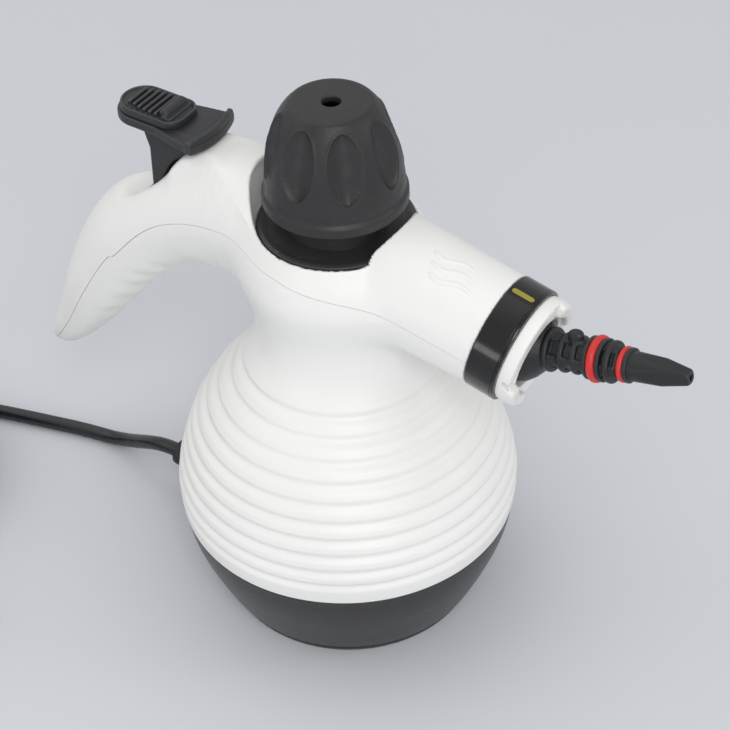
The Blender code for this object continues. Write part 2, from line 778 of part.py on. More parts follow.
def parting_line():
    """Along the handle's middle line, over the neck, and along the barrel's axis."""
    handle = [(x, z) for x, z, depth, width in handle_line() if x < PARTING_HANDLE_SHARE * SHOULDER_RADIUS]
    handle.reverse()
    tip = Vector(handle[0])
    outward = (tip - Vector(handle[2])).normalized()
    start = tip + outward * SHOULDER_RADIUS
    neck = [(x * SHOULDER_RADIUS, BARREL_AXIS_HEIGHT + z * SHOULDER_RADIUS) for x, z in PARTING_SHARES]
    axis = [BARREL_ROOT + BARREL_WAY * along_it for along_it in (BORE_START, BAND_START, BAND_END + FAR)]
    middle = between([handle[-1]] + neck + [(axis[0].x, axis[0].z)], 2)
    return [tuple(start)] + handle + middle[1:] + [(point.x, point.z) for point in axis[1:]]


def shifted(line, distance):
    """The same line, moved to its upper side by the distance."""
    made = []
    last = len(line) - 1
    for index, point in enumerate(line):
        before = Vector(line[max(index - 1, 0)])
        after = Vector(line[min(index + 1, last)])
        way = (after - before).normalized()
        made.append((point[0] - way.y * distance, point[1] + way.x * distance))
    return made


def housings():
    """One outer form, hollowed, then parted into the lower and upper mouldings."""
    outer = body_form()
    join(outer, barrel_form(), loft("handle_form", handle_line(), ripple=GRIP_DEPTH), saddle_form())
    inner = hollow_form()
    stations = handle_line()
    valve_rear = VALVE_X - VALVE_LENGTH / 2
    kept = stations[:1 + sum(1 for station in stations if station[0] > valve_rear)]
    join(inner, loft("handle_hollow", kept, thinner=WALL), bore_form())
    guard = disc("well_guard", WELL_RADIUS + WALL, WELL_FLOOR - WALL, CAP_TOP)
    cut(inner, guard)
    inner = as_mesh(inner)
    well_profile = [
        (0.0, CAP_TOP + OVERRUN), (WELL_RADIUS, CAP_TOP + OVERRUN), (WELL_RADIUS, RIM_TOP - EDGE),
        (COLLAR_RADIUS + GAP, RIM_TOP - EDGE), (COLLAR_RADIUS + GAP, WELL_FLOOR), (0.0, WELL_FLOOR),
    ]
    well = turned("well", well_profile)
    neck_hole = disc("neck_hole", NECK_TUBE_RADIUS + GAP, SHOULDER_HEIGHT, CAP_TOP, steps=MEDIUM)
    pin_reach = PIN_LENGTH / 2 + GAP
    pin_hole = across_pin(disc("pin_hole", PIN_RADIUS + GAP, -pin_reach, pin_reach, steps=SMALL))
    cut(outer, inner, well, neck_hole, slot_form(), pin_hole)
    outer = as_mesh(outer)
    line = parting_line()
    above = line + [(line[-1][0], CAP_TOP + FAR), (line[0][0], CAP_TOP + FAR)]
    line_up = shifted(line, GAP)
    below = line_up + [(line[-1][0], -FAR), (line[0][0], -FAR)]
    for name, tool in (
        ("lower_housing", plate("above_parting", above, BELLY_RADIUS * 2)),
        ("upper_housing", plate("below_parting", below, BELLY_RADIUS * 2)),
    ):
        cut(add(name, outer.data.copy(), WHITE), tool)


def bowl_radius(height):
    return FOOT_RADIUS + (SEAM_RADIUS - FOOT_RADIUS) * read_off(between(BOWL_SHARES, 4), height / SEAM_HEIGHT)


def leg_places():
    return [
        (LEG_CIRCLE * math.cos(math.tau * leg / LEG_COUNT), LEG_CIRCLE * math.sin(math.tau * leg / LEG_COUNT))
        for leg in range(LEG_COUNT)
    ]


def base_cover():
    """A bowl with a flat floor, bosses for the boiler's legs and a hole for the strain relief."""
    heights = [SEAM_HEIGHT * share for share in BOWL_ROW_SHARES]
    profile = [(0.0, WALL)]
    profile += [(bowl_radius(height) - WALL, height + WALL) for height in heights]
    profile += [(SEAM_RADIUS - WALL, SEAM_HEIGHT), (SEAM_RADIUS, SEAM_HEIGHT)]
    profile += [(bowl_radius(height), height) for height in reversed(heights)]
    profile += [(FOOT_RADIUS - EDGE, 0.0), (0.0, 0.0)]
    made = turned("base_cover", profile, BLACK)
    for index, (x, y) in enumerate(leg_places()):
        boss = place(disc(f"boss_{index + 1}", BOSS_RADIUS, WALL / 2, BOSS_TOP, steps=SMALL), (x, y, 0.0))
        join(made, boss)
    for index, (x, y) in enumerate(leg_places()):
        sink_top = SCREW_RECESS + SCREW_HEAD_THICKNESS + GAP
        profile = [
            (0.0, BOSS_TOP + OVERRUN), (SCREW_RADIUS + GAP, BOSS_TOP + OVERRUN), (SCREW_RADIUS + GAP, sink_top),
            (SCREW_HEAD_RADIUS + GAP, sink_top), (SCREW_HEAD_RADIUS + GAP, -OVERRUN), (0.0, -OVERRUN),
        ]
        cut(made, place(turned(f"screw_hole_{index + 1}", profile, steps=SMALL), (x, y, 0.0), turn=HALF_STEP))
    relief_hole = disc("relief_hole", RELIEF_BORE_RADIUS + GAP, 0.0, BELLY_RADIUS + OVERRUN, steps=SMALL)
    place(relief_hole, (0.0, 0.0, RELIEF_HEIGHT), (-1.0, 0.0, 0.0))
    cut(made, relief_hole)


def base_screws():
    for index, (x, y) in enumerate(leg_places()):
        top = SCREW_RECESS + SCREW_HEAD_THICKNESS
        profile = [
            (0.0, SCREW_LENGTH), (SCREW_RADIUS, SCREW_LENGTH), (SCREW_RADIUS, top),
            (SCREW_HEAD_RADIUS, top), (SCREW_HEAD_RADIUS, SCREW_RECESS), (0.0, SCREW_RECESS),
        ]
        place(turned(f"base_screw_{index + 1}", profile, STEEL, SMALL), (x, y, 0.0))


def boiler():
    """Two cast halves with bolted flanges. The upper one carries the filler neck."""
    inside = BOILER_RADIUS - BOILER_WALL
    joint = BOILER_SPLIT
    profile = [
        (0.0, BOILER_FLOOR + BOILER_WALL), (inside - BOILER_WALL, BOILER_FLOOR + BOILER_WALL),
        (inside, BOILER_FLOOR + 2 * BOILER_WALL), (inside, joint), (FLANGE_RADIUS, joint),
        (FLANGE_RADIUS, joint - FLANGE_THICKNESS), (BOILER_RADIUS, joint - FLANGE_THICKNESS),
        (BOILER_RADIUS, BOILER_FLOOR + BOILER_WALL), (BOILER_RADIUS - BOILER_WALL, BOILER_FLOOR),
        (0.0, BOILER_FLOOR),
    ]
    lower = turned("boiler_lower", profile, ALUMINIUM, MEDIUM)
    for index, (x, y) in enumerate(leg_places()):
        hole = SCREW_RADIUS + GAP
        leg_top = BOILER_FLOOR + BOILER_WALL / 2
        profile = [
            (0.0, leg_top), (LEG_RADIUS, leg_top), (LEG_RADIUS, LEG_BOTTOM),
            (hole, LEG_BOTTOM), (hole, SCREW_LENGTH + GAP), (0.0, SCREW_LENGTH + GAP),
        ]
        join(lower, place(turned(f"leg_{index + 1}", profile, steps=SMALL), (x, y, 0.0)))
    ring("boiler_gasket", inside, FLANGE_RADIUS, joint + GAP, joint + GASKET_THICKNESS, SILICONE, MEDIUM)
    bottom = joint + GASKET_THICKNESS + GAP
    shoulder = bottom + FLANGE_THICKNESS
    outer = [(BOILER_RADIUS * radius, shoulder + (DOME_TOP - shoulder) * rise) for rise, radius in DOME_SHARES]
    inner = [(max(radius - BOILER_WALL, NECK_TUBE_BORE), height - BOILER_WALL) for radius, height in outer]
    inner[0] = (inside, bottom)
    outer.reverse()
    profile = [(NECK_TUBE_BORE, NECK_TUBE_TOP), (NECK_TUBE_RADIUS, NECK_TUBE_TOP), (NECK_TUBE_RADIUS, DOME_TOP)]
    profile += outer[1:] + [(FLANGE_RADIUS, shoulder), (FLANGE_RADIUS, bottom)] + inner
    upper = turned("boiler_upper", profile, ALUMINIUM, MEDIUM, loop=True)
    narrow_first = [(radius, rise) for rise, radius in reversed(DOME_SHARES)]
    dome_share = read_off(narrow_first, -NIPPLE_X / BOILER_RADIUS)
    nipple_root = shoulder + (DOME_TOP - shoulder) * dome_share - BOILER_WALL
    nipple = disc("nipple", NIPPLE_RADIUS, nipple_root, DOME_TOP + NIPPLE_LENGTH, steps=SMALL)
    join(upper, place(nipple, (NIPPLE_X, 0.0, 0.0)))


def below_terminal(end):
    """Where a wire meets the end of a terminal from below."""
    return (end[0], end[1], end[2] - WIRE_RADIUS - GAP)


def heating():
    """The element under the boiler, the thermostat in the middle, the fuse on the side."""
    height = BOILER_FLOOR - ELEMENT_RADIUS - GAP
    start = math.pi + ELEMENT_OPENING / 2
    sweep = math.tau - ELEMENT_OPENING
    points = []
    for index in range(MEDIUM + 1):
        angle = start + sweep * index / MEDIUM
        points.append((ELEMENT_CIRCLE * math.cos(angle), ELEMENT_CIRCLE * math.sin(angle), height))
    first = (points[0][0], points[0][1], height - TERMINAL_DROP)
    last = (points[-1][0], points[-1][1], height - TERMINAL_DROP)
    tube("heating_element", [first] + points + [last], ELEMENT_RADIUS, STEEL)
    top = BOILER_FLOOR - GAP
    rim = THERMOSTAT_RADIUS + THERMOSTAT_RIM
    profile = [
        (0.0, top), (rim, top), (rim, top - THERMOSTAT_RIM / 2), (THERMOSTAT_RADIUS, top - THERMOSTAT_RIM / 2),
        (THERMOSTAT_RADIUS, top - THERMOSTAT_HEIGHT), (0.0, top - THERMOSTAT_HEIGHT),
    ]
    turned("thermostat", profile, PHENOLIC, SMALL)
    ends = (first, last)
    inlet = (-RELIEF_INNER_X + 3 * GAP, 0.0, RELIEF_HEIGHT)
    shell_side = -(THERMOSTAT_RADIUS + WIRE_RADIUS + GAP)
    low = top - THERMOSTAT_HEIGHT / 2
    for name, start_at, end_at in (
        ("supply_wire_live", (inlet[0], 2 * WIRE_RADIUS, inlet[2]), (shell_side, 2 * WIRE_RADIUS, low)),
        ("supply_wire_neutral", (inlet[0], -2 * WIRE_RADIUS, inlet[2]), below_terminal(ends[0])),
        ("thermostat_wire", (shell_side, -2 * WIRE_RADIUS, low), below_terminal(ends[1])),
    ):
        middle = tuple((a + b) / 2 for a, b in zip(start_at, end_at))
        sag = (middle[0], middle[1], min(start_at[2], end_at[2]) - WIRE_SAG)
        tube(name, between([start_at, sag, end_at], TUBE_STEPS), WIRE_RADIUS, COPPER)
    side = BOILER_RADIUS + FUSE_RADIUS + GAP
    fuse_bottom = BOILER_SPLIT - FLANGE_THICKNESS - FUSE_LENGTH * 1.5
    place(disc("thermal_fuse", FUSE_RADIUS, fuse_bottom, fuse_bottom + FUSE_LENGTH, PTFE, SMALL), (-side, 0.0, 0.0))


def filler_collar():
    """A dished ring in the well, with a sleeve that covers the boiler's neck."""
    bottom = WELL_FLOOR + GAP
    inner = NECK_TUBE_RADIUS + GAP
    sleeve = inner + CAP_WALL
    sleeve_top = NECK_TUBE_TOP - CAP_PRESS
    profile = [
        (inner, sleeve_top), (sleeve, sleeve_top), (sleeve, COLLAR_TOP - 2 * COLLAR_DISH),
        (COLLAR_RADIUS - 4 * COLLAR_DISH, COLLAR_TOP - COLLAR_DISH),
        (COLLAR_RADIUS - 3 * COLLAR_DISH, COLLAR_TOP), (COLLAR_RADIUS - EDGE, COLLAR_TOP),
        (COLLAR_RADIUS, COLLAR_TOP - EDGE), (COLLAR_RADIUS, bottom), (inner, bottom),
    ]
    turned("filler_collar", profile, BLACK, loop=True)


def cap_side():
    """The cap's outer side as radius and height, from the skirt up to the crown."""
    tall = CAP_TOP - CAP_BOTTOM
    side = [(CAP_RADIUS * radius, CAP_BOTTOM + tall * rise) for rise, radius in CAP_BEAD_SHARES]
    side += [(CAP_BODY_RADIUS * radius, CAP_BOTTOM + tall * rise) for rise, radius in CAP_SHARES]
    return side


def flutes_form(side):
    """Eight long scoops round the cap, laid back to follow its side."""
    heights_first = [(height, radius) for radius, height in side]
    reach = read_off(heights_first, FLUTE_HEIGHT) + FLUTE_DEPTH
    size = Matrix.Diagonal((FLUTE_DEPTH * 2, FLUTE_HALF_WIDTH, FLUTE_HALF_HEIGHT, 1.0))
    mesh = bpy.data.meshes.new("flutes")
    shape = bmesh.new()
    for flute in range(FLUTE_COUNT):
        spin = Matrix.Rotation(math.tau * flute / FLUTE_COUNT, 4, "Z")
        spot = spin @ Matrix.Translation((reach, 0.0, FLUTE_HEIGHT)) @ Matrix.Rotation(-FLUTE_LEAN, 4, "Y")
        bmesh.ops.create_uvsphere(shape, u_segments=12, v_segments=8, radius=1.0, matrix=spot @ size)
    shape.to_mesh(mesh)
    shape.free()
    return add("flutes", mesh)


def cap_shell():
    """The outer half of the cap: a skirt round the plug's flange, and thicker walls behind the flutes."""
    side = cap_side()
    skirt = CAP_BODY_RADIUS - CAP_WALL
    step = PLUG_FLANGE_BOTTOM + PLUG_FLANGE_THICKNESS + CAP_PRESS + GAP
    behind = FLUTE_DEPTH + FLUTE_WALL
    roof = CAP_TOP - CAP_WALL
    inner = [(skirt, CAP_BOTTOM), (skirt, step)]
    inner += [(radius - behind, height) for radius, height in side if step + CAP_WALL < height < roof - CAP_WALL]
    profile = [(CAP_HOLE, CAP_TOP)] + list(reversed(side)) + inner
    profile += [(inner[-1][0] - CAP_WALL, roof), (CAP_HOLE, roof)]
    shell = place(turned("cap_shell", profile, BLACK, loop=True), turn=HALF_STEP)
    cut(shell, flutes_form(side))
    return roof


def cap():
    roof = cap_shell()
    flange_top = PLUG_FLANGE_BOTTOM + PLUG_FLANGE_THICKNESS
    ring("cap_retainer", RETAINER_BORE, CAP_BODY_RADIUS - CAP_WALL - GAP,
         PLUG_FLANGE_BOTTOM - GAP - RETAINER_THICKNESS, PLUG_FLANGE_BOTTOM - GAP, STEEL, MEDIUM)
    profile = [
        (SEAT_BORE, PLUG_HUB_TOP), (PLUG_HUB_RADIUS, PLUG_HUB_TOP), (PLUG_HUB_RADIUS, flange_top),
        (PLUG_FLANGE_RADIUS, flange_top), (PLUG_FLANGE_RADIUS, PLUG_FLANGE_BOTTOM),
        (PLUG_STEM_RADIUS, PLUG_FLANGE_BOTTOM), (PLUG_STEM_RADIUS, PLUG_STEM_BOTTOM),
        (PLUG_BORE, PLUG_STEM_BOTTOM), (PLUG_BORE, SEAT_HEIGHT), (SEAT_BORE, SEAT_HEIGHT),
    ]
    turned("cap_plug", profile, BRASS, MEDIUM, loop=True)
    ring("cap_gasket", SEAL_BORE, SEAL_RADIUS, NECK_TUBE_TOP + GAP, PLUG_FLANGE_BOTTOM - GAP, SILICONE, MEDIUM)
    cover_bottom = PLUG_HUB_TOP + GAP
    ring("relief_cover", VENT_HOLE, PLUG_HUB_RADIUS, cover_bottom, cover_bottom + VALVE_COVER_THICKNESS, BRASS, SMALL)
    poppet_bottom = SEAT_HEIGHT + GAP
    poppet_top = poppet_bottom + POPPET_HEIGHT
    profile = [
        (0.0, poppet_top), (POPPET_RADIUS / 2, poppet_top), (POPPET_RADIUS / 2, poppet_top - POPPET_HEIGHT / 2),
        (POPPET_RADIUS, poppet_top - POPPET_HEIGHT / 2), (POPPET_RADIUS, poppet_bottom), (0.0, poppet_bottom),
    ]
    turned("relief_poppet", profile, BRASS, SMALL)
    low = poppet_top - POPPET_HEIGHT / 2 + SPRING_WIRE + GAP
    high = cover_bottom - SPRING_WIRE - GAP
    spring("relief_spring", coil_points(RELIEF_SPRING_RADIUS, low, high, RELIEF_SPRING_TURNS))
    low = flange_top + SPRING_WIRE + GAP
    high = roof - SPRING_WIRE - GAP
    spring("cap_spring", coil_points(CAP_SPRING_RADIUS, low, high, CAP_SPRING_TURNS))


def lever_place(backward, upward):
    """A point of the lever in the object's XZ plane, from its place about the pin."""
    cosine = math.cos(LEVER_TILT)
    sine = math.sin(LEVER_TILT)
    return (PIN_X - backward * cosine - upward * sine, PIN_HEIGHT - backward * sine + upward * cosine)


def on_lever(thing):
    """Lays a form made flat, with -X backward, onto the tilted lever."""
    thing.matrix_world = (
        Matrix.Translation((PIN_X, 0.0, PIN_HEIGHT)) @ Matrix.Rotation(-LEVER_TILT, 4, "Y") @ thing.matrix_world
    )
    return thing


def top_view(name, outline, bottom, top, look=None):
    """An outline seen from above, given as X and Y, between two heights."""
    curve = bpy.data.curves.new(name, "CURVE")
    curve.dimensions = "2D"
    curve.fill_mode = "BOTH"
    curve.extrude = (top - bottom) / 2
    line = curve.splines.new("POLY")
    line.points.add(len(outline) - 1)
    for point, (x, y) in zip(line.points, outline):
        point.co = (x, y, 0.0, 1.0)
    line.use_cyclic_u = True
    made = add(name, curve)
    made.location.z = (top + bottom) / 2
    return as_mesh(made, look)


def rounded_end(x, half_width, steps=10, start=90.0, end=270.0):
    """Half a circle that bulges toward -X."""
    made = []
    for step in range(steps + 1):
        angle = math.radians(start + (end - start) * step / steps)
        made.append((x + half_width * math.cos(angle), half_width * math.sin(angle)))
    return made


def lever_and_slider():
    rear = -(PLATE_LENGTH - PLATE_REAR_HALF_WIDTH)
    waist = -SLIDER_FRONT
    front = PLATE_FRONT
    outline = rounded_end(rear, PLATE_REAR_HALF_WIDTH)
    shoulder = PLATE_HALF_WIDTH * WAIST_SHARE
    outline += [(waist - SLIDER_HALF_WIDTH, -PLATE_REAR_HALF_WIDTH), (waist, -shoulder)]
    outline += [(front - LIP_BULGE, -PLATE_HALF_WIDTH), (front, 0.0), (front - LIP_BULGE, PLATE_HALF_WIDTH)]
    outline += [(waist, shoulder), (waist - SLIDER_HALF_WIDTH, PLATE_REAR_HALF_WIDTH)]
    top = PLATE_RISE + PLATE_THICKNESS
    lever = on_lever(top_view("trigger_lever", outline, PLATE_RISE, top, BLACK))
    lip = [(front - LIP_BULGE, -PLATE_HALF_WIDTH), (front - LIP_BULGE / 4, -PLATE_HALF_WIDTH / 2), (front, 0.0),
           (front - LIP_BULGE / 4, PLATE_HALF_WIDTH / 2), (front - LIP_BULGE, PLATE_HALF_WIDTH)]
    lip_back = [(x - LIP_THICKNESS, y) for x, y in reversed(lip)]
    lip = [(x + EDGE, y) for x, y in lip]
    lip_form = on_lever(top_view("lip_form", lip + lip_back, PLATE_RISE + PLATE_THICKNESS / 2, top + LIP_HEIGHT))
    overlap = PLATE_RISE + PLATE_THICKNESS / 2
    stem = [
        (-STEM_REACH, overlap), (-STEM_REACH, -STEM_DEPTH - STEM_FOOT_LENGTH),
        (-STEM_REACH + STEM_FOOT_LENGTH, -STEM_DEPTH - STEM_FOOT_LENGTH),
        (-STEM_REACH + STEM_FOOT_LENGTH, -STEM_DEPTH * 0.80), (-STEM_REACH * 0.70, -STEM_DEPTH * 0.44),
        (-STEM_REACH * 0.55, -STEM_DEPTH * 0.22), (-STEM_ROOT, -HINGE_LUG_RADIUS / 2), (-STEM_ROOT / 2, overlap),
    ]
    stem_form = on_lever(plate("stem_form", stem, STEM_HALF_WIDTH))
    lug = [(HINGE_LUG_RADIUS * math.cos(math.radians(angle)), HINGE_LUG_RADIUS * math.sin(math.radians(angle)))
           for angle in range(180, 421, 20)]
    lug = [(0.0, overlap), (-HINGE_LUG_RADIUS * 2, overlap), (-HINGE_LUG_RADIUS * 2, 0.0)] + lug
    lug_form = on_lever(plate("lug_form", lug, STEM_HALF_WIDTH))
    join(lever, lip_form, stem_form, lug_form)
    bore = across_pin(disc("lever_bore", PIN_RADIUS + GAP, -PIN_LENGTH, PIN_LENGTH, steps=SMALL))
    tongue_x = -SLIDER_FRONT - SLIDER_LENGTH / 2
    groove_length = TONGUE_LENGTH + SLIDER_TRAVEL + 2 * GAP
    groove = on_lever(block("tongue_groove", (groove_length, 2 * (TONGUE_HALF_WIDTH + GAP), PLATE_THICKNESS * 2),
                            (tongue_x + SLIDER_TRAVEL / 2, 0.0, top)))
    spring_room = across_pin(disc("spring_room", SPRING_ROOM_RADIUS, -SPRING_ROOM, SPRING_ROOM, steps=SMALL))
    cut(lever, bore, groove, spring_room)
    coil = coil_points(LEVER_SPRING_RADIUS, -LEVER_SPRING_HALF_WIDTH, LEVER_SPRING_HALF_WIDTH, LEVER_SPRING_TURNS)
    across_pin(spring("trigger_spring", coil))
    low = top + GAP
    slider_rear = -(SLIDER_FRONT + SLIDER_LENGTH - SLIDER_HALF_WIDTH)
    outline = rounded_end(slider_rear, SLIDER_HALF_WIDTH)
    outline += [(-SLIDER_FRONT - SLIDER_HALF_WIDTH / 2, -SLIDER_HALF_WIDTH), (-SLIDER_FRONT, -SLIDER_HALF_WIDTH / 2)]
    outline += [(-SLIDER_FRONT, SLIDER_HALF_WIDTH / 2), (-SLIDER_FRONT - SLIDER_HALF_WIDTH / 2, SLIDER_HALF_WIDTH)]
    slider = on_lever(top_view("lock_slider", outline, low, low + SLIDER_THICKNESS, BLACK))
    bar_x = -SLIDER_FRONT - SLIDER_HALF_WIDTH / 2 - GRIP_BAR_WIDTH / 2
    bar = on_lever(block("grip_bar", (GRIP_BAR_WIDTH, 2 * GRIP_BAR_HALF_LENGTH, GRIP_BAR_HEIGHT),
                         (bar_x, 0.0, low + SLIDER_THICKNESS / 2 + GRIP_BAR_HEIGHT / 2)))
    tongue = on_lever(block("tongue", (TONGUE_LENGTH, 2 * TONGUE_HALF_WIDTH, PLATE_THICKNESS / 2 + SLIDER_THICKNESS),
                            (tongue_x, 0.0, low + SLIDER_THICKNESS / 2 - PLATE_THICKNESS / 4)))
    join(slider, bar, tongue)
    for rib in range(SLIDER_RIBS):
        rib_x = bar_x - GRIP_BAR_WIDTH / 2 - SLIDER_RIB_PITCH * (rib + 0.5)
        reach = min(SLIDER_RIB_HALF_LENGTH, SLIDER_RIB_HALF_LENGTH * (1.25 - 0.09 * rib))
        join(slider, on_lever(block(f"slider_rib_{rib + 1}", (SLIDER_RIB_WIDTH, 2 * reach, 2 * SLIDER_RIB_HEIGHT),
                                    (rib_x, 0.0, low + SLIDER_THICKNESS))))
    across_pin(disc("trigger_pin", PIN_RADIUS, -PIN_LENGTH / 2, PIN_LENGTH / 2, STEEL, SMALL))


def steam_valve():
    """The valve under the lever's foot, and the tubes that lead to and from it."""
    foot_x, foot_z = lever_place(STEM_REACH - STEM_FOOT_LENGTH / 2, -STEM_DEPTH - STEM_FOOT_LENGTH)
    head_top = lever_place(STEM_REACH, -STEM_DEPTH - STEM_FOOT_LENGTH)[1] - GAP
    head_bottom = head_top - PLUNGER_HEAD_THICKNESS
    body_top = VALVE_FLOOR + VALVE_HEIGHT
    plunger_bottom = head_bottom - PLUNGER_DEPTH
    plunger_x = foot_x + PLUNGER_RADIUS
    profile = [
        (0.0, head_top), (PLUNGER_HEAD_RADIUS, head_top), (PLUNGER_HEAD_RADIUS, head_bottom),
        (PLUNGER_RADIUS, head_bottom), (PLUNGER_RADIUS, plunger_bottom), (0.0, plunger_bottom),
    ]
    place(turned("valve_plunger", profile, BRASS, SMALL), (plunger_x, 0.0, 0.0))
    size = (VALVE_LENGTH, 2 * VALVE_HALF_WIDTH, VALVE_HEIGHT)
    body = block("valve_body", size, (VALVE_X, 0.0, VALVE_FLOOR + VALVE_HEIGHT / 2), BRASS)
    soften(body, EDGE)
    well = place(disc("plunger_bore", PLUNGER_RADIUS + GAP, VALVE_FLOOR + 2 * EDGE, body_top + OVERRUN, steps=SMALL),
                 (plunger_x, 0.0, 0.0))
    cut(body, well)
    low = body_top + SPRING_WIRE + GAP
    high = head_bottom - SPRING_WIRE - GAP
    spring("valve_spring", coil_points(VALVE_SPRING_RADIUS, low, high, VALVE_SPRING_TURNS, (plunger_x, 0.0)))
    front = VALVE_X + VALVE_LENGTH / 2 + GAP
    inlet_height = VALVE_FLOOR + INLET_RISE
    nipple = DOME_TOP + NIPPLE_LENGTH + GAP
    route = [
        (NIPPLE_X, 0.0, nipple), (NIPPLE_X, 0.0, nipple + 3 * TUBE_RADIUS),
        (NIPPLE_X - 3 * TUBE_RADIUS, 0.0, inlet_height), (front + 3 * TUBE_RADIUS, 0.0, inlet_height),
        (front, 0.0, inlet_height),
    ]
    tube("steam_tube", between(route, 4), TUBE_RADIUS, PTFE)
    outlet = VALVE_FLOOR + OUTLET_RISE
    clear = NECK_TUBE_RADIUS + 2 * TUBE_RADIUS
    end = BARREL_ROOT + BARREL_WAY * (BAND_END - NOZZLE_FLANGE_THICKNESS - GAP)
    near = BARREL_ROOT + BARREL_WAY * BORE_START
    route = [
        (front, 0.0, outlet), (front + 3 * TUBE_RADIUS, 0.0, outlet), (front + 7 * TUBE_RADIUS, TUBE_RADIUS, outlet),
        (-clear, clear * 0.62, SHOULDER_HEIGHT), (0.0, clear * 1.08, SHOULDER_HEIGHT),
        (clear, clear * 0.50, SHOULDER_HEIGHT), (near.x, 0.0, near.z),
        tuple(end - BARREL_WAY * 4 * TUBE_RADIUS), tuple(end),
    ]
    tube("outlet_tube", between(route, 4), TUBE_RADIUS, PTFE)


def barrel_front():
    """The alignment band and the bayonet ring."""
    on_barrel(ring("alignment_band", BARREL_FRONT_RADIUS - BARREL_STEP + GAP, BAND_RADIUS,
                   BAND_START, BAND_END, GLOSS_BLACK, edge=BAND_EDGE))
    face = RING_START + RING_LENGTH
    made = on_barrel(ring("bayonet_ring", RING_BORE, RING_RADIUS, RING_START, face, WHITE, edge=EDGE))
    for index, middle in enumerate(LUG_PLACES):
        outline = []
        steps = 8
        for step in range(steps + 1):
            angle = middle + LUG_ARC * (step / steps - 0.5)
            outline.append((RING_RADIUS - EDGE, angle))
        for step in range(steps, -1, -1):
            angle = middle + LUG_ARC * (step / steps - 0.5)
            outline.append((RING_RADIUS - LUG_THICKNESS, angle))
        flat = [(radius * math.cos(angle), radius * math.sin(angle)) for radius, angle in outline]
        lug = top_view(f"bayonet_lug_{index + 1}", flat, face - RING_LENGTH / 2, face + LUG_HEIGHT)
        lug.matrix_world = Matrix.Translation(BARREL_ROOT) @ along(BARREL_WAY) @ lug.matrix_world
        join(made, lug)


def seal_ring(name, index):
    radius = SEAL_RADII[index] - SEAL_SECTIONS[index]
    points = []
    for step in range(NOZZLE_SIDES):
        angle = math.tau * step / NOZZLE_SIDES
        points.append((radius * math.cos(angle), radius * math.sin(angle), SEAL_PLACES[index]))
    on_nozzle(tube(name, points, SEAL_SECTIONS[index], RED, cyclic=True))


def ridge(spot, radius, half):
    """A rounded rib on the nozzle's core."""
    return [
        (CORE_RADIUS, spot - half * 1.1), (radius, spot - half * 0.5),
        (radius, spot + half * 0.5), (CORE_RADIUS, spot + half * 1.1),
    ]


def seal_groove(index):
    """Two flanges with the groove that the sealing ring lies in."""
    floor = SEAL_RADII[index] - 2 * SEAL_SECTIONS[index] - GAP
    wall = SEAL_RADII[index] - SEAL_FLANGE_DROP
    core = min(CORE_RADIUS, floor)
    spot = SEAL_PLACES[index]
    edge = SEAL_SECTIONS[index] + GAP
    far_edge = edge + SEAL_FLANGE_WIDTH
    return [
        (core, spot - far_edge), (wall, spot - far_edge + EDGE / 2), (wall, spot - edge), (floor, spot - edge),
        (floor, spot + edge), (wall, spot + edge), (wall, spot + far_edge - EDGE / 2), (core, spot + far_edge),
    ]


def nozzle():
    """A flange behind the ring, a bell, ribs joined by webs, two seal grooves and a tapered tip."""
    flange_end = BAND_END
    flange = [
        (0.0, flange_end + RING_LENGTH * 0.6), (NOZZLE_HUB_RADIUS, flange_end + RING_LENGTH * 0.6),
        (NOZZLE_HUB_RADIUS, flange_end), (NOZZLE_FLANGE_RADIUS, flange_end),
        (NOZZLE_FLANGE_RADIUS, flange_end - NOZZLE_FLANGE_THICKNESS), (0.0, flange_end - NOZZLE_FLANGE_THICKNESS),
    ]
    made = on_barrel(turned("nozzle", flange, BLACK, NOZZLE_SIDES))
    half = RIDGE_WIDTH / 2
    outer = [(BELL_RADIUS, BELL_START), (BELL_RADIUS * 0.78, RIDGE_PLACES[0] * 0.52)]
    outer += [(CORE_RADIUS * 1.25, RIDGE_PLACES[0] * 0.80)]
    for spot, radius in zip(RIDGE_PLACES, RIDGE_RADII):
        outer += ridge(spot, radius, half)
    outer += seal_groove(0)
    outer += ridge(MIDDLE_RIDGE_PLACE, MIDDLE_RIDGE_RADIUS, half)
    outer += seal_groove(1)
    outer += [(TIP_ROOT_RADIUS, TIP_START), (TIP_SHOULDER_RADIUS, TIP_SHOULDER), (TIP_RADIUS, NOZZLE_LENGTH)]
    outer.reverse()
    bottom = BELL_START - GAP
    profile = [(0.0, NOZZLE_LENGTH)] + outer + [(BELL_RADIUS * 0.9, bottom), (0.0, bottom)]
    spout = on_nozzle(turned("spout_form", profile, steps=NOZZLE_SIDES))
    join(made, spout)
    web_start = RIDGE_PLACES[0]
    web_end = SEAL_PLACES[0] - SEAL_SECTIONS[0] - SEAL_FLANGE_WIDTH
    for index, angle in enumerate((0.0, 90.0)):
        size = (RIDGE_RADII[-1] * 1.86, 2 * WEB_HALF_WIDTH, web_end - web_start)
        web = block(f"web_form_{index + 1}", size, (0.0, 0.0, (web_end + web_start) / 2))
        web.matrix_world = (Matrix.Translation(NOZZLE_ROOT) @ along(NOZZLE_WAY)
                            @ Matrix.Rotation(math.radians(angle), 4, "Z"))
        join(made, web)
    nub = place(disc("nub_form", NUB_RADIUS, 0.0, NUB_HEIGHT, steps=SMALL),
                NOZZLE_ROOT + NOZZLE_WAY * NUB_PLACE, (-math.sin(NOZZLE_TILT), 0.0, math.cos(NOZZLE_TILT)))
    tip_bore = on_nozzle(disc("tip_bore", TIP_BORE, TIP_SHOULDER, NOZZLE_LENGTH + OVERRUN, steps=SMALL))
    join(made, nub)
    cut(made, tip_bore)
    seal_ring("nozzle_seal_rear", 0)
    seal_ring("nozzle_seal_front", 1)


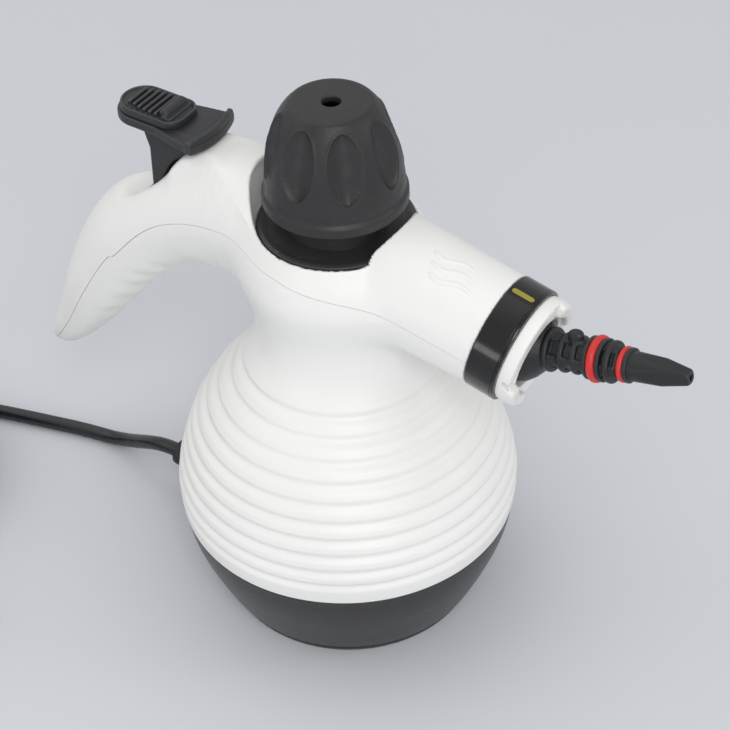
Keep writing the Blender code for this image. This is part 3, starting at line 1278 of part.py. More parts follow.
def strain_relief():
    """A ribbed boot with a bead at its end, through the rear of the base cover."""
    length = RELIEF_TIP_X - RELIEF_FLANGE_X
    profile = [(RELIEF_BORE_RADIUS * radius, RELIEF_FLANGE_X + length * share) for share, radius in RELIEF_SHARES]
    profile.reverse()
    profile = [(0.0, RELIEF_TIP_X)] + profile
    profile += [(RELIEF_BORE_RADIUS, RELIEF_FLANGE_X), (RELIEF_BORE_RADIUS, RELIEF_INNER_X), (0.0, RELIEF_INNER_X)]
    place(turned("strain_relief", profile, RUBBER, SMALL), (0.0, 0.0, RELIEF_HEIGHT), (-1.0, 0.0, 0.0))


def cord():
    tube("power_cord", between(CORD_ROUTE, CORD_STEPS), CORD_RADIUS, RUBBER, fineness=2)
    across = COIL_ACROSS * CORD_RADIUS
    tall = COIL_LAYERS * 2 * CORD_RADIUS
    edge = CORD_RADIUS
    floor = COIL_LIFT
    profile = [
        (COIL_RADIUS - across + edge, floor + tall), (COIL_RADIUS + across - edge, floor + tall),
        (COIL_RADIUS + across, floor + tall - edge), (COIL_RADIUS + across, floor + edge),
        (COIL_RADIUS + across - edge, floor), (COIL_RADIUS - across + edge, floor),
        (COIL_RADIUS - across, floor + edge), (COIL_RADIUS - across, floor + tall - edge),
    ]
    place(turned("power_cord_coil", profile, RUBBER, ROUND, loop=True), (*COIL_CENTRE, 0.0))
    tube("power_cord_tail", between(TAIL_ROUTE, CORD_STEPS), CORD_RADIUS, RUBBER, fineness=2)
    inner = COIL_RADIUS - across - 3 * GAP
    outer = COIL_RADIUS + across + GAP
    low = floor - GAP
    high = floor + tall + GAP
    thick = TIE_THICKNESS
    outside = (outer - inner + 2 * thick, TIE_WIDTH, high - low + 2 * thick)
    loop = block("cord_tie", outside, ((outer + inner) / 2, 0.0, (high + low) / 2), RUBBER)
    middle = ((outer + inner) / 2, 0.0, (high + low) / 2)
    opening = block("tie_opening", (outer - inner, 2 * TIE_WIDTH, high - low), middle)
    for thing in (loop, opening):
        thing.matrix_world = Matrix.Translation((*COIL_CENTRE, 0.0)) @ Matrix.Rotation(TIE_TURN, 4, "Z")
    cut(loop, opening)


def plug():
    """A moulded plug with two round pins, lying beside the coil."""
    profile = [(PLUG_RADIUS * radius, PLUG_LENGTH * share) for share, radius in PLUG_SHARES]
    profile.reverse()
    profile = [(0.0, PLUG_LENGTH)] + profile + [(0.0, 0.0)]
    way = Vector((math.cos(PLUG_TURN), math.sin(PLUG_TURN), 0.0))
    made = place(turned("power_plug", profile, RUBBER, MEDIUM), PLUG_START, way)
    for side in (-1, 1):
        across = Vector((-way.y, way.x, 0.0)) * (side * PIN_SPACING / 2)
        pin_root = PLUG_LENGTH - OVERRUN
        pin_end = PLUG_LENGTH + PLUG_PIN_LENGTH
        pin = disc(f"plug_pin_{side + 2}", PLUG_PIN_RADIUS, pin_root, pin_end, steps=SMALL)
        join(made, place(pin, Vector(PLUG_START) + across, way))


def build():
    housings()
    base_cover()
    base_screws()
    boiler()
    heating()
    filler_collar()
    cap()
    lever_and_slider()
    steam_valve()
    barrel_front()
    nozzle()
    strain_relief()
    cord()
    plug()


build()
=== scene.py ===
"""Looks for the handheld steam cleaner, in the part's own frame and in metres.

Moulded pieces are drawn from distance fields: a function gives each point's distance to the
piece's surface, and a mesh is laid on the zero surface. Lengths inside the fields are in
millimetres.
"""
import math

import bpy
import numpy as np
from mathutils import Matrix, Vector


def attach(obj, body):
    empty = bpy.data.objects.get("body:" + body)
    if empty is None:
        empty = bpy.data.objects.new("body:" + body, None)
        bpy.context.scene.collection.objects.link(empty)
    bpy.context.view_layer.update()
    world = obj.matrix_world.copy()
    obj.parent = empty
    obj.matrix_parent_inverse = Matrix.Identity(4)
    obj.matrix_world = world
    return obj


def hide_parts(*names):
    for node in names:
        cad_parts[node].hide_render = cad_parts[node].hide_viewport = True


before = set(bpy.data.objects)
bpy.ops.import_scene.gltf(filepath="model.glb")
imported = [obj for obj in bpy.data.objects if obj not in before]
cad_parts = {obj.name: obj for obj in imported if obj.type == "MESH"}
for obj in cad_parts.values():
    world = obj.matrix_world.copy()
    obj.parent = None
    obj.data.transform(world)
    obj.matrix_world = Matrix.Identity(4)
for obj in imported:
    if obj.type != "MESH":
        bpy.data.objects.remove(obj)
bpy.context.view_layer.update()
MM = 0.001

# Camera, as fitted to the photograph
PICTURE_PIXELS, FOCAL_PIXELS, SENSOR_WIDTH = 730.0, 2000.0, 36.0
CAMERA_BACK, CAMERA_UP = 0.5808, 0.6006
AZIMUTH, YAW, PITCH, ROLL = (math.radians(v) for v in (35.0, 0.81, 40.45, -2.15))


def build_camera():
    data = bpy.data.cameras.new("camera")
    camera = bpy.data.objects.new("camera", data)
    bpy.context.scene.collection.objects.link(camera)
    bpy.context.scene.camera = camera
    data.sensor_width = SENSOR_WIDTH
    data.lens = FOCAL_PIXELS / PICTURE_PIXELS * SENSOR_WIDTH
    data.clip_start, data.clip_end = 0.01, 20.0
    bpy.context.scene.view_settings.view_transform = "Standard"
    forward = Vector((math.sin(YAW) * math.cos(PITCH), math.cos(YAW) * math.cos(PITCH), -math.sin(PITCH)))
    level = Vector((math.cos(YAW), -math.sin(YAW), 0.0))
    upward = level.cross(forward)
    right = level * math.cos(ROLL) + upward * math.sin(ROLL)
    above = -level * math.sin(ROLL) + upward * math.cos(ROLL)
    turn = Matrix.Rotation(AZIMUTH, 4, "Z")
    axes = Matrix((right, above, -forward)).transposed().to_4x4()
    camera.matrix_world = turn @ Matrix.Translation((0.0, -CAMERA_BACK, CAMERA_UP)) @ axes


build_camera()


# ---- helpers
def smooth_union(a, b, k):
    """Two fields joined, with a blend about k wide."""
    h = np.clip(0.5 + 0.5 * (b - a) / k, 0.0, 1.0)
    return b + (a - b) * h - k * h * (1.0 - h)


def common(a, b, k):
    """What two fields share, with its edge rounded by about k."""
    return -smooth_union(-a, -b, k)


def cut_from(a, b, k):
    """The field a with the form b taken out of it."""
    return common(a, -b, k)


def slab(value, middle, half):
    """Distance to the layer that reaches half to each side of the middle."""
    return np.abs(value - middle) - half


def bar(a, b, middle_a, middle_b, radius):
    """Distance to a round bar that stands on the plane of a and b."""
    return np.sqrt((a - middle_a) ** 2 + (b - middle_b) ** 2) - radius


def unit(rows):
    """Rows scaled to a length of one."""
    return rows / np.maximum(np.linalg.norm(rows, axis=-1, keepdims=True), 1e-9)


def spline(points, count):
    """A smooth curve through rows of numbers, as count rows."""
    rows = np.array(points, float)
    n = len(rows)
    steps = np.linalg.norm(np.diff(rows[:, :2], axis=0), axis=1)
    place = np.concatenate([[0.0], np.cumsum(steps)])
    a, b = np.maximum(np.arange(n) - 1, 0), np.minimum(np.arange(n) + 1, n - 1)
    slope = (rows[b] - rows[a]) / (place[b] - place[a])[:, None]
    at = np.linspace(0.0, place[-1], count)
    i = np.clip(np.searchsorted(place, at, side="right") - 1, 0, n - 2)
    w = (place[i + 1] - place[i])[:, None]
    t = (at - place[i])[:, None] / w
    return ((2 * t ** 3 - 3 * t ** 2 + 1) * rows[i] + (t ** 3 - 2 * t ** 2 + t) * w * slope[i]
            + (3 * t ** 2 - 2 * t ** 3) * rows[i + 1] + (t ** 3 - t ** 2) * w * slope[i + 1])


def gradient(field, points, h=0.03):
    """The field's slope along each axis."""
    out = np.empty_like(points)
    for i in range(3):
        step = np.zeros(3)
        step[i] = h
        a, b = points + step, points - step
        out[:, i] = (field(a[:, 0], a[:, 1], a[:, 2]) - field(b[:, 0], b[:, 1], b[:, 2])) / (2 * h)
    return out


CORNERS = [(a, b, c) for a in (0, 1) for b in (0, 1) for c in (0, 1)]
SLICE = 24


def sample(field, lines):
    """The field's values where three sets of lines cross, worked out a slice at a time."""
    values = np.empty([len(line) for line in lines], np.float32)
    for start in range(0, len(lines[0]), SLICE):
        part = slice(start, start + SLICE)
        values[part] = field(*np.meshgrid(lines[0][part], lines[1], lines[2], indexing="ij", sparse=True))
    return values


def crossed_cells(inside):
    """The cells that the surface passes through, and each cell's number or -1."""
    shape = np.array(inside.shape) - 1
    total = np.zeros(shape, np.int8)
    for a, b, c in CORNERS:
        total += inside[a:shape[0] + a, b:shape[1] + b, c:shape[2] + c]
    cells = np.argwhere((total > 0) & (total < 8))
    number = np.full(shape, -1, np.int64)
    number[tuple(cells.T)] = np.arange(len(cells))
    return cells, number


def cell_points(values, cells):
    """For each cell, the mean of the places where the surface crosses its edges, counted in cells."""
    corner = {(a, b, c): values[cells[:, 0] + a, cells[:, 1] + b, cells[:, 2] + c].astype(float)
              for a, b, c in CORNERS}
    spot = np.zeros((len(cells), 3))
    hits = np.zeros(len(cells))
    for first in CORNERS:
        for axis in (i for i in range(3) if not first[i]):
            va, vb = corner[first], corner[first[:axis] + (1,) + first[axis + 1:]]
            crossed = (va < 0) != (vb < 0)
            offset = np.tile(np.array(first, float), (len(cells), 1))
            offset[:, axis] = va / np.where(crossed, va - vb, 1.0)
            spot += offset * crossed[:, None]
            hits += crossed
    return cells + spot / hits[:, None]


def cell_faces(inside, number):
    """One four-sided face for each grid line that the surface crosses."""
    faces = []
    axes = np.eye(3, dtype=int)
    for axis in range(3):
        b, c = axes[(axis + 1) % 3], axes[(axis + 2) % 3]
        first, second = [slice(1, -1)] * 3, [slice(1, -1)] * 3
        first[axis], second[axis] = slice(None, -1), slice(1, None)
        va, vb = inside[tuple(first)], inside[tuple(second)]
        edges = np.argwhere(va != vb)
        starts_inside = va[tuple(edges.T)]
        edges = edges + 1 - axes[axis]
        quad = np.stack([number[tuple((edges - step).T)] for step in (b + c, c, 0, b)], 1)
        quad[~starts_inside] = quad[~starts_inside][:, ::-1]
        faces.append(quad)
    faces = np.concatenate(faces)
    return faces[(faces >= 0).all(1)]


def grid_mesh(field, low, high, step):
    """Points, four-sided faces and normals on the zero surface of a field, in millimetres."""
    low, high = np.array(low, float), np.array(high, float)
    count = np.ceil((high - low) / step).astype(int) + 1
    values = sample(field, [low[i] + step * np.arange(count[i]) for i in range(3)])
    inside = values < 0.0
    cells, number = crossed_cells(inside)
    points = low + cell_points(values, cells) * step
    for _ in range(4):
        g = gradient(field, points)
        size = np.maximum((g ** 2).sum(1), 0.04)
        move = g * (field(points[:, 0], points[:, 1], points[:, 2]) / size)[:, None]
        length = np.sqrt((move ** 2).sum(1))
        points = points - move * np.minimum(1.0, 0.5 * step / np.maximum(length, 1e-9))[:, None]
    return points, cell_faces(inside, number), unit(gradient(field, points, 0.12))


def lattice(columns, rows, close_rows=False, close_columns=True):
    """Four-sided faces over points that are kept column by column."""
    c, r = np.meshgrid(np.arange(columns - (not close_columns)), np.arange(rows - (not close_rows)))
    next_c, next_r = (c + 1) % columns, (r + 1) % rows
    corners = [c * rows + r, next_c * rows + r, next_c * rows + next_r, c * rows + next_r]
    return np.stack(corners, 2).reshape(-1, 4)


def clip(points, faces, normals, value):
    """The part of a mesh where value is below zero, and the pairs of points along its cut edge."""
    tri = np.concatenate([faces[:, [0, i, i + 1]] for i in range(1, faces.shape[1] - 1)])
    keep = value < 0.0
    state = keep[tri].sum(1)
    # A cut triangle is turned so that the corner that is alone on its side of the cut comes first
    cut = tri[(state == 1) | (state == 2)]
    alone = keep[cut] == (keep[cut].sum(1) == 1)[:, None]
    cut = np.take_along_axis(cut, (np.argmax(alone, 1)[:, None] + np.arange(3)) % 3, 1)
    edges, spots = np.unique(np.sort(cut[:, [0, 1, 0, 2]].reshape(-1, 2), 1), axis=0, return_inverse=True)
    p, q = spots.reshape(-1, 2).T + len(points)
    a, b = edges.T
    t = (value[a] / (value[a] - value[b]))[:, None]
    points = np.concatenate([points, points[a] + (points[b] - points[a]) * t])
    normals = np.concatenate([normals, unit(normals[a] + (normals[b] - normals[a]) * t)])
    tip = keep[cut[:, 0]]
    tri = np.concatenate([tri[state == 3], np.stack([cut[:, 0], p, q], 1)[tip],
                          np.stack([p, cut[:, 1], cut[:, 2]], 1)[~tip], np.stack([p, cut[:, 2], q], 1)[~tip]])
    rim = np.where(tip[:, None], np.stack([p, q], 1), np.stack([q, p], 1))
    used = np.unique(tri)
    renumber = np.full(len(points), -1)
    renumber[used] = np.arange(len(used))
    return points[used], renumber[tri], normals[used], renumber[rim]


def turn_in(points, faces, normals, rim, depth, sideways):
    """A return wall along a cut edge, so that the shell shows its thickness there."""
    ends, spots = np.unique(rim, return_inverse=True)
    n = len(ends)
    a, b = spots.reshape(-1, 2).T + len(points)
    wall = np.concatenate([np.stack([b, a, a + n], 1), np.stack([b, a + n, b + n], 1)])
    points = np.concatenate([points, points[ends], points[ends] - normals[ends] * depth])
    normals = np.concatenate([normals, sideways[ends], sideways[ends]])
    return points, np.concatenate([faces, wall]), normals


def make(name, mesh, replaces, look, body="root"):
    """An object on a body, from points in millimetres, faces and normals."""
    points, faces, normals = mesh
    mesh = bpy.data.meshes.new(name)
    mesh.from_pydata((points * MM).tolist(), [], faces.tolist())
    mesh.validate()
    mesh.shade_smooth()
    if normals is not None:
        mesh.normals_split_custom_set_from_vertices(normals.tolist())
    thing = bpy.data.objects.new(name, mesh)
    bpy.context.scene.collection.objects.link(thing)
    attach(thing, body)
    if replaces:
        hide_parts(*replaces)
    mesh.materials.append(look)


STEP = 0.9
# The handle's middle line (along, up), and its half depth and half width
HANDLE = spline([
    (-8.9, 161.5, 29.5, 24.5), (-34.0, 163.0, 28.0, 21.0), (-51.9, 160.5, 24.2, 18.5),
    (-73.4, 151.7, 20.6, 17.0), (-95.6, 133.0, 19.4, 17.0), (-114.3, 106.1, 15.9, 15.5),
    (-127.7, 83.9, 11.2, 12.5), (-138.8, 68.5, 7.4, 8.8), (-145.6, 61.4, 3.4, 3.7),
], 70)
# Where the two shells meet, seen from the side (along, up)
PARTING = spline([(x, z) for x, z in HANDLE[:0:-1, :2] if x < -96.0] + [
    (-95.5, 131.4), (-81.6, 146.9), (-71.5, 155.2), (-59.7, 161.4), (-47.2, 165.4),
    (-36.0, 167.3), (-25.8, 167.6), (-5.4, 167.4), (0.6, 166.6), (6.6, 165.7), (14.4, 164.3),
    (20.0, 162.8), (26.0, 161.0), (40.0, 157.67), (60.0, 153.05), (100.0, 143.81),
], 120)
# The belly and neck (height, radius)
PROFILE = spline([
    (26.6, 62.0), (44.3, 66.2), (57.5, 67.0), (70.7, 64.1), (83.9, 59.4), (97.1, 51.5),
    (110.3, 40.7), (123.5, 33.4), (136.7, 32.1), (154.3, 36.0), (164.4, 34.5), (171.4, 31.3),
    (176.0, 28.9),
], 500)
SLANT = 1.0 / np.sqrt(1.0 + np.gradient(PROFILE[:, 1], PROFILE[:, 0]) ** 2)
# The belly's grooves: the lowest one's height, their spacing, number, half width and depth
GROOVE_LOW, GROOVE_PITCH, GROOVES, GROOVE_HALF, GROOVE_DEPTH = 53.4, 6.57, 10, 2.5, 1.2
# The barrel's axis drops to the front, from this height over the middle of the base
TILT = math.radians(13.0)
AXIS_HEIGHT = 166.9
BARREL_END = 68.4
SPIGOT_RADIUS, BORE_RADIUS, BORE_START = 20.3, 17.8, 60.0
WELL_RADIUS, WELL_FLOOR, BODY_TOP = 29.2, 174.1, 174.4
# Half the seam between the shells, the wall seen in it, and where the base begins, with its wall
SEAM, SEAM_WALL, BASE_TOP, BASE_WALL = 0.09, 2.2, 44.6, 2.0
# The channel's floor behind the lever (along, up)
CHANNEL = ((-92.0, -84.0, -80.1, -75.9, -71.8, -67.5, -62.0, -56.0),
           (158.0, 161.2, 164.6, 168.0, 172.6, 178.9, 185.0, 191.0))


def along_line(x, z, line):
    """Share along a line, the signed offset to its left, and how far past its ends a point lies."""
    best = None
    n = len(line)
    for i in range(n - 1):
        (ax, az), (bx, bz) = line[i, :2], line[i + 1, :2]
        dx, dz = bx - ax, bz - az
        size = math.hypot(dx, dz)
        t = ((x - ax) * dx + (z - az) * dz) / size ** 2
        held = np.clip(t, 0.0, 1.0)
        away = (x - ax - held * dx) ** 2 + (z - az - held * dz) ** 2
        side = (dx * (z - az) - dz * (x - ax)) / size
        past = (np.maximum(t - 1.0, 0.0) * (i == n - 2) - np.maximum(-t, 0.0) * (i == 0)) * size
        found = (i + held, side, past)
        if best is None:
            best, least = found, away
        else:
            nearer = away < least
            best = tuple(np.where(nearer, new, old) for new, old in zip(found, best))
            least = np.minimum(away, least)
    return best


def parting_side(x, z):
    """Distance above the parting line."""
    return along_line(x, z, PARTING)[1]


def on_axis(x, z):
    """Place along the barrel's axis and height square to it."""
    return (x * math.cos(TILT) - (z - AXIS_HEIGHT) * math.sin(TILT),
            x * math.sin(TILT) + (z - AXIS_HEIGHT) * math.cos(TILT))


def barrel_radius(along, up):
    """The barrel is nearly straight on top and swells towards the neck below."""
    below = np.clip(0.5 - up / 22.0, 0.0, 1.0)
    return 21.4 + (0.3 + 4.2 * below) * np.clip(1.0 - along / BARREL_END, 0.0, 1.3)


def handle_field(x, y, z):
    """The handle, with five finger waves on its underside."""
    share, side, past = along_line(x, z, HANDLE)
    place = np.arange(len(HANDLE))
    depth = np.interp(share, place, HANDLE[:, 2])
    width = np.interp(share, place, HANDLE[:, 3])
    under = np.clip((side - 4.0) / 8.0, 0.0, 1.0)
    phase = np.clip((share / (len(HANDLE) - 1) - 0.42) / 0.36, 0.0, 1.0)
    ripple = 0.8 * np.sin(math.pi * 5 * phase) ** 2 * under
    u = side / (depth - ripple)
    w = y / width
    e = past / (0.75 * depth)
    q = np.sqrt(u ** 2 + w ** 2 + e ** 2)
    steep = np.sqrt((u / depth) ** 2 + (w / width) ** 2 + (e / (0.75 * depth)) ** 2)
    return q * (q - 1.0) / np.maximum(steep, 1e-3)


def belly_field(r, y, z):
    """The grooved belly and the neck, cut level at the top and a little lower on the far side."""
    nearest = np.clip(np.round((z - GROOVE_LOW) / GROOVE_PITCH), 0, GROOVES - 1)
    near = np.abs(z - GROOVE_LOW - GROOVE_PITCH * nearest)
    groove = np.where(near < GROOVE_HALF, 0.5 + 0.5 * np.cos(math.pi * near / GROOVE_HALF), 0.0)
    radius = np.interp(z, PROFILE[:, 0], PROFILE[:, 1]) - GROOVE_DEPTH * groove
    body = (r - radius) * np.interp(z, PROFILE[:, 0], SLANT)
    return common(body, z - BODY_TOP + 1.3 * np.clip((y - 4.0) / 10.0, 0.0, 1.0), 0.8)


def saddle_field(x, y, z):
    """The hump that carries the lever's pin."""
    way = np.clip((x + 60.0) / 14.0, 0.0, 1.0)
    return common(bar(x, z, 14.0 * way - 60.0, 179.5 + 1.2 * way, 7.6), slab(y, 0.0, 10.4), 4.0)


def room_for_lever(solid, x, y, z):
    """Cuts the channel behind the lever and the slot that its stem swings in, and adds the pin's hood."""
    channel = common(slab(y, 0.0, 11.5), (np.interp(x, *CHANNEL) - z) * 0.75, 4.0)
    hood = common(bar(x, z, -50.4, 184.8, 5.5), slab(y, 0.0, 8.2), 2.0)
    solid = smooth_union(cut_from(solid, channel, 2.5), hood, 2.5)
    slot = bar(x, z, PIN[0], PIN[2], 4.4)
    for degrees in (-1.5, 2.5, 6.5):
        c, s = math.cos(math.radians(degrees)), math.sin(math.radians(degrees))
        along = (x - PIN[0]) * c + (z - PIN[2]) * s
        up = (z - PIN[2]) * c - (x - PIN[0]) * s
        slot = np.minimum(slot, outline_distance(along, up, STEM) - 0.9)
    shaft = np.maximum(slab(x, -75.0, 7.1), slab(z, 157.0, 8.0))
    return cut_from(solid, common(np.minimum(slot, shaft), slab(y, 0.0, 6.3), 0.6), 0.6)


def well_field(r, x, z):
    """The well round the cap: its wall flares at the rear, and the barrel overhangs it in front."""
    flare = 0.17 * np.clip(0.5 - x / 26.0, 0.0, 1.0)
    overhang = 1.4 * np.clip(x / 16.0, 0.0, 1.0) * np.clip((z - 174.6) / 3.0, 0.0, 1.0)
    wall = np.clip(WELL_RADIUS + 0.1 + flare * (z - WELL_FLOOR), WELL_RADIUS, 31.6) - overhang
    well = common(r - wall, WELL_FLOOR - z, 0.3)
    return np.minimum(well, np.maximum(r - WELL_RADIUS, slab(z, 172.9, 1.9)))


def housing_field(x, y, z):
    """Both housings as one form."""
    r = np.sqrt(x ** 2 + y ** 2)
    along, up = on_axis(x, z)
    out = np.sqrt(up ** 2 + y ** 2)
    cone = common(out - barrel_radius(along, up), slab(along, 29.2, BARREL_END - 29.2), 0.5)
    solid = smooth_union(belly_field(r, y, z), cone, np.clip(9.0 - 0.6 * (z - 157.0), 1.5, 9.0))
    solid = smooth_union(solid, handle_field(x, y, z), 9.0)
    solid = smooth_union(solid, saddle_field(x, y, z), 6.0)
    spigot = np.maximum(out - SPIGOT_RADIUS, slab(along, 45.0, 35.2))
    solid = np.minimum(room_for_lever(solid, x, y, z), spigot)
    solid = cut_from(solid, well_field(r, x, z), 0.9)
    return cut_from(solid, np.maximum(out - BORE_RADIUS, BORE_START - along), 0.5)


def build_housings(look):
    """The two shells: one form, cut along the parting line, and the lower one cut level at the base."""
    points, faces, normals = grid_mesh(housing_field, (-150.3, -68.45, 41.0), (83.5, 68.5, 192.0), STEP)
    side = parting_side(points[:, 0], points[:, 2])
    for name, node, sign in (("housing_upper", "upper_housing", -1.0), ("housing_lower", "lower_housing", 1.0)):
        p, f, n, rim = clip(points, faces, normals, SEAM + sign * side)
        sideways = unit(sign * gradient(lambda x, y, z: parting_side(x, z), p, 0.05))
        p, f, n = turn_in(p, f, n, rim, SEAM_WALL, sideways)
        if sign > 0:
            p, f, n, rim = clip(p, f, n, BASE_TOP - p[:, 2])
            p, f, n = turn_in(p, f, n, rim, BASE_WALL, np.tile([0.0, 0.0, -1.0], (len(p), 1)))
        make(name, (p, f, n), [node], look)


# ---- materials
def linear(value):
    """A colour share in linear light, from its sRGB level out of 255."""
    value /= 255.0
    return value / 12.92 if value <= 0.04045 else ((value + 0.055) / 1.055) ** 2.4


def shade(rgb, by=1.0):
    return tuple(min(1.0, linear(c) * by) for c in rgb) + (1.0,)


def material(name, rgb, vary=0.06, patch=45.0, rough=(0.34, 0.46), grain=1400.0, height=0.03, metal=0.0,
             specks=None, wear=0.0, stretch=None, level=0.5):
    """A moulded or machined surface: broad colour drift, fine grain, uneven gloss and rubbed edges."""
    made = bpy.data.materials.new(name)
    made.use_nodes = True
    tree = made.node_tree
    link = tree.links.new
    shader = tree.nodes["Principled BSDF"]
    shader.inputs["Metallic"].default_value = metal
    shader.inputs["Specular IOR Level"].default_value = level
    place = tree.nodes.new("ShaderNodeTexCoord")
    source = place.outputs["Object"]
    if stretch:
        mapping = tree.nodes.new("ShaderNodeMapping")
        mapping.inputs["Scale"].default_value = stretch
        link(source, mapping.inputs["Vector"])
        source = mapping.outputs["Vector"]

    def noise(scale, detail=2.0, kind=0.5):
        node = tree.nodes.new("ShaderNodeTexNoise")
        node.inputs["Scale"].default_value = scale
        node.inputs["Detail"].default_value = detail
        node.inputs["Roughness"].default_value = kind
        link(source, node.inputs["Vector"])
        return node.outputs["Fac"]

    def blend(factor, first, second):
        node = tree.nodes.new("ShaderNodeMix")
        node.data_type = "RGBA"
        link(factor, node.inputs["Factor"])
        for socket, value in ((node.inputs[6], first), (node.inputs[7], second)):
            if isinstance(value, tuple):
                socket.default_value = value
            else:
                link(value, socket)
        return node.outputs[2]

    def band(factor, low, high, start=0.0, end=1.0):
        node = tree.nodes.new("ShaderNodeMapRange")
        for socket, value in zip(("From Min", "From Max", "To Min", "To Max"), (low, high, start, end)):
            node.inputs[socket].default_value = value
        link(factor, node.inputs["Value"])
        return node.outputs["Result"]

    tint = blend(band(noise(patch, 3.0), 0.3, 0.7), shade(rgb, 1.0 - vary), shade(rgb, 1.0 + vary))
    if specks:
        dots = tree.nodes.new("ShaderNodeTexVoronoi")
        dots.inputs["Scale"].default_value = specks[0]
        link(source, dots.inputs["Vector"])
        few = band(noise(specks[0] * 0.21, 1.0), 0.56, 0.60)
        near = band(dots.outputs["Distance"], specks[1], specks[1] * 0.6)
        both = tree.nodes.new("ShaderNodeMath")
        both.operation = "MULTIPLY"
        link(few, both.inputs[0])
        link(near, both.inputs[1])
        tint = blend(both.outputs["Value"], tint, shade(specks[2]))
    if wear:
        geometry = tree.nodes.new("ShaderNodeNewGeometry")
        rubbed = band(geometry.outputs["Pointiness"], 0.52, 0.60, 0.0, wear)
        tint = blend(rubbed, tint, shade(tuple(min(255, c * 1.25 + 26) for c in rgb)))
    link(tint, shader.inputs["Base Color"])
    link(band(noise(patch * 7.0, 4.0, 0.6), 0.25, 0.75, rough[0], rough[1]), shader.inputs["Roughness"])
    bump = tree.nodes.new("ShaderNodeBump")
    bump.inputs["Strength"].default_value = 0.6
    bump.inputs["Distance"].default_value = height * MM
    link(noise(grain, 2.0, 0.6), bump.inputs["Height"])
    link(bump.outputs["Normal"], shader.inputs["Normal"])
    return made


WHITE = material("white_moulding", (234, 234, 231), 0.015, 30.0, (0.34, 0.46), 2600.0, 0.012,
                 specks=(260.0, 0.035, (196, 194, 188)))
BASE = material("base_moulding", (42, 42, 44), 0.02, 40.0, (0.30, 0.38), 2200.0, 0.012, wear=0.4)
CAP = material("cap_moulding", (39, 39, 40), 0.08, 60.0, (0.36, 0.50), 1700.0, 0.10,
               specks=(1230.0, 0.16, (92, 92, 92)), level=0.45)
LEVER = material("lever_moulding", (45, 46, 48), 0.08, 60.0, (0.34, 0.48), 2400.0, 0.04, wear=0.9,
                 specks=(500.0, 0.08, (120, 120, 120)), level=0.4)
COLLAR = material("collar_moulding", (50, 50, 49), 0.10, 60.0, (0.36, 0.50), 2200.0, 0.04, wear=0.4,
                  specks=(420.0, 0.10, (150, 150, 146)), level=0.45)
NOZZLE = material("nozzle_moulding", (36, 37, 39), 0.10, 80.0, (0.32, 0.46), 2600.0, 0.03, wear=0.8, level=0.35)
GLOSS = material("gloss_band", (12, 12, 13), 0.05, 40.0, (0.13, 0.20), 900.0, 0.004, wear=0.25)
RED = material("red_silicone", (205, 40, 36), 0.06, 120.0, (0.34, 0.46), 3000.0, 0.01)
CAST = material("cast_aluminium", (168, 170, 172), 0.10, 60.0, (0.42, 0.62), 900.0, 0.10, metal=1.0, wear=0.3)
STEEL = material("plated_steel", (190, 190, 192), 0.06, 90.0, (0.22, 0.36), 2600.0, 0.01, metal=1.0)
BRASS = material("turned_brass", (200, 164, 92), 0.08, 90.0, (0.24, 0.38), 2400.0, 0.015, metal=1.0,
                 stretch=(1.0, 1.0, 6.0))
SEAL = material("seal_silicone", (206, 200, 190), 0.05, 90.0, (0.42, 0.55), 2600.0, 0.01)
RUBBER = material("black_rubber", (26, 27, 30), 0.08, 70.0, (0.40, 0.54), 2400.0, 0.02)
CORD = material("cord_sheath", (28, 30, 34), 0.06, 50.0, (0.20, 0.32), 1800.0, 0.012)
PHENOLIC = material("phenolic_moulding", (60, 42, 32), 0.12, 90.0, (0.40, 0.55), 2200.0, 0.03)
SLEEVE = material("wire_sleeve", (222, 216, 202), 0.10, 400.0, (0.55, 0.70), 5000.0, 0.06)
PTFE = material("fluoropolymer", (225, 226, 222), 0.03, 90.0, (0.28, 0.40), 2200.0, 0.008)
MARK = material("printed_mark", (150, 141, 52), 0.05, 200.0, (0.30, 0.42), 2600.0, 0.01)

LOOKS = {
    "white_plastic": WHITE, "black_plastic": BASE, "gloss_black": GLOSS, "red_silicone": RED,
    "cast_aluminium": CAST, "steel": STEEL, "brass": BRASS, "seal_silicone": SEAL,
    "black_rubber": RUBBER, "phenolic": PHENOLIC, "wire_cover": SLEEVE, "fluoropolymer": PTFE,
}
OWN_LOOKS = {"cap_shell": CAP, "trigger_lever": LEVER, "lock_slider": LEVER, "filler_collar": COLLAR,
             "nozzle": NOZZLE}


def dress_nodes():
    """Gives each node of the CAD its own look, or its slot's."""
    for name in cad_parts:
        node = bpy.data.objects[name]
        for place in node.material_slots:
            look = OWN_LOOKS.get(name) or LOOKS.get(place.material.name if place.material else "", WHITE)
            place.material = look


# ---- cord
COIL = (-209.0, -71.0)
COIL_START = 50.9
OUTER, MIDDLE, INNER = 43.3, 36.9, 30.5
LAYERS = (4.55, 10.85, 17.15, 23.45)
CORD_ROUTE = (
    (-88.5, 0.0, 19.0), (-92.5, 0.05, 18.9), (-98.0, 0.3, 17.9), (-106.0, 1.4, 14.4), (-114.0, 2.9, 10.0),
    (-122.0, 4.0, 6.2), (-130.0, 4.2, 3.9), (-138.0, 3.4, 3.25), (-147.0, 1.7, 3.2), (-158.0, -1.0, 3.2),
    (-172.0, -4.5, 3.2), (-185.0, -8.0, 3.2), (-198.5, -12.2, 3.2), (-211.0, -17.4, 3.2),
)
CORD_TAIL = (
    (-213.9, -122.1, 5.4), (-204.0, -122.6, 7.5), (-193.8, -122.8, 12.4), (-183.9, -123.7, 16.5),
    (-175.4, -124.8, 18.3), (-172.0, -125.2, 18.4),
)
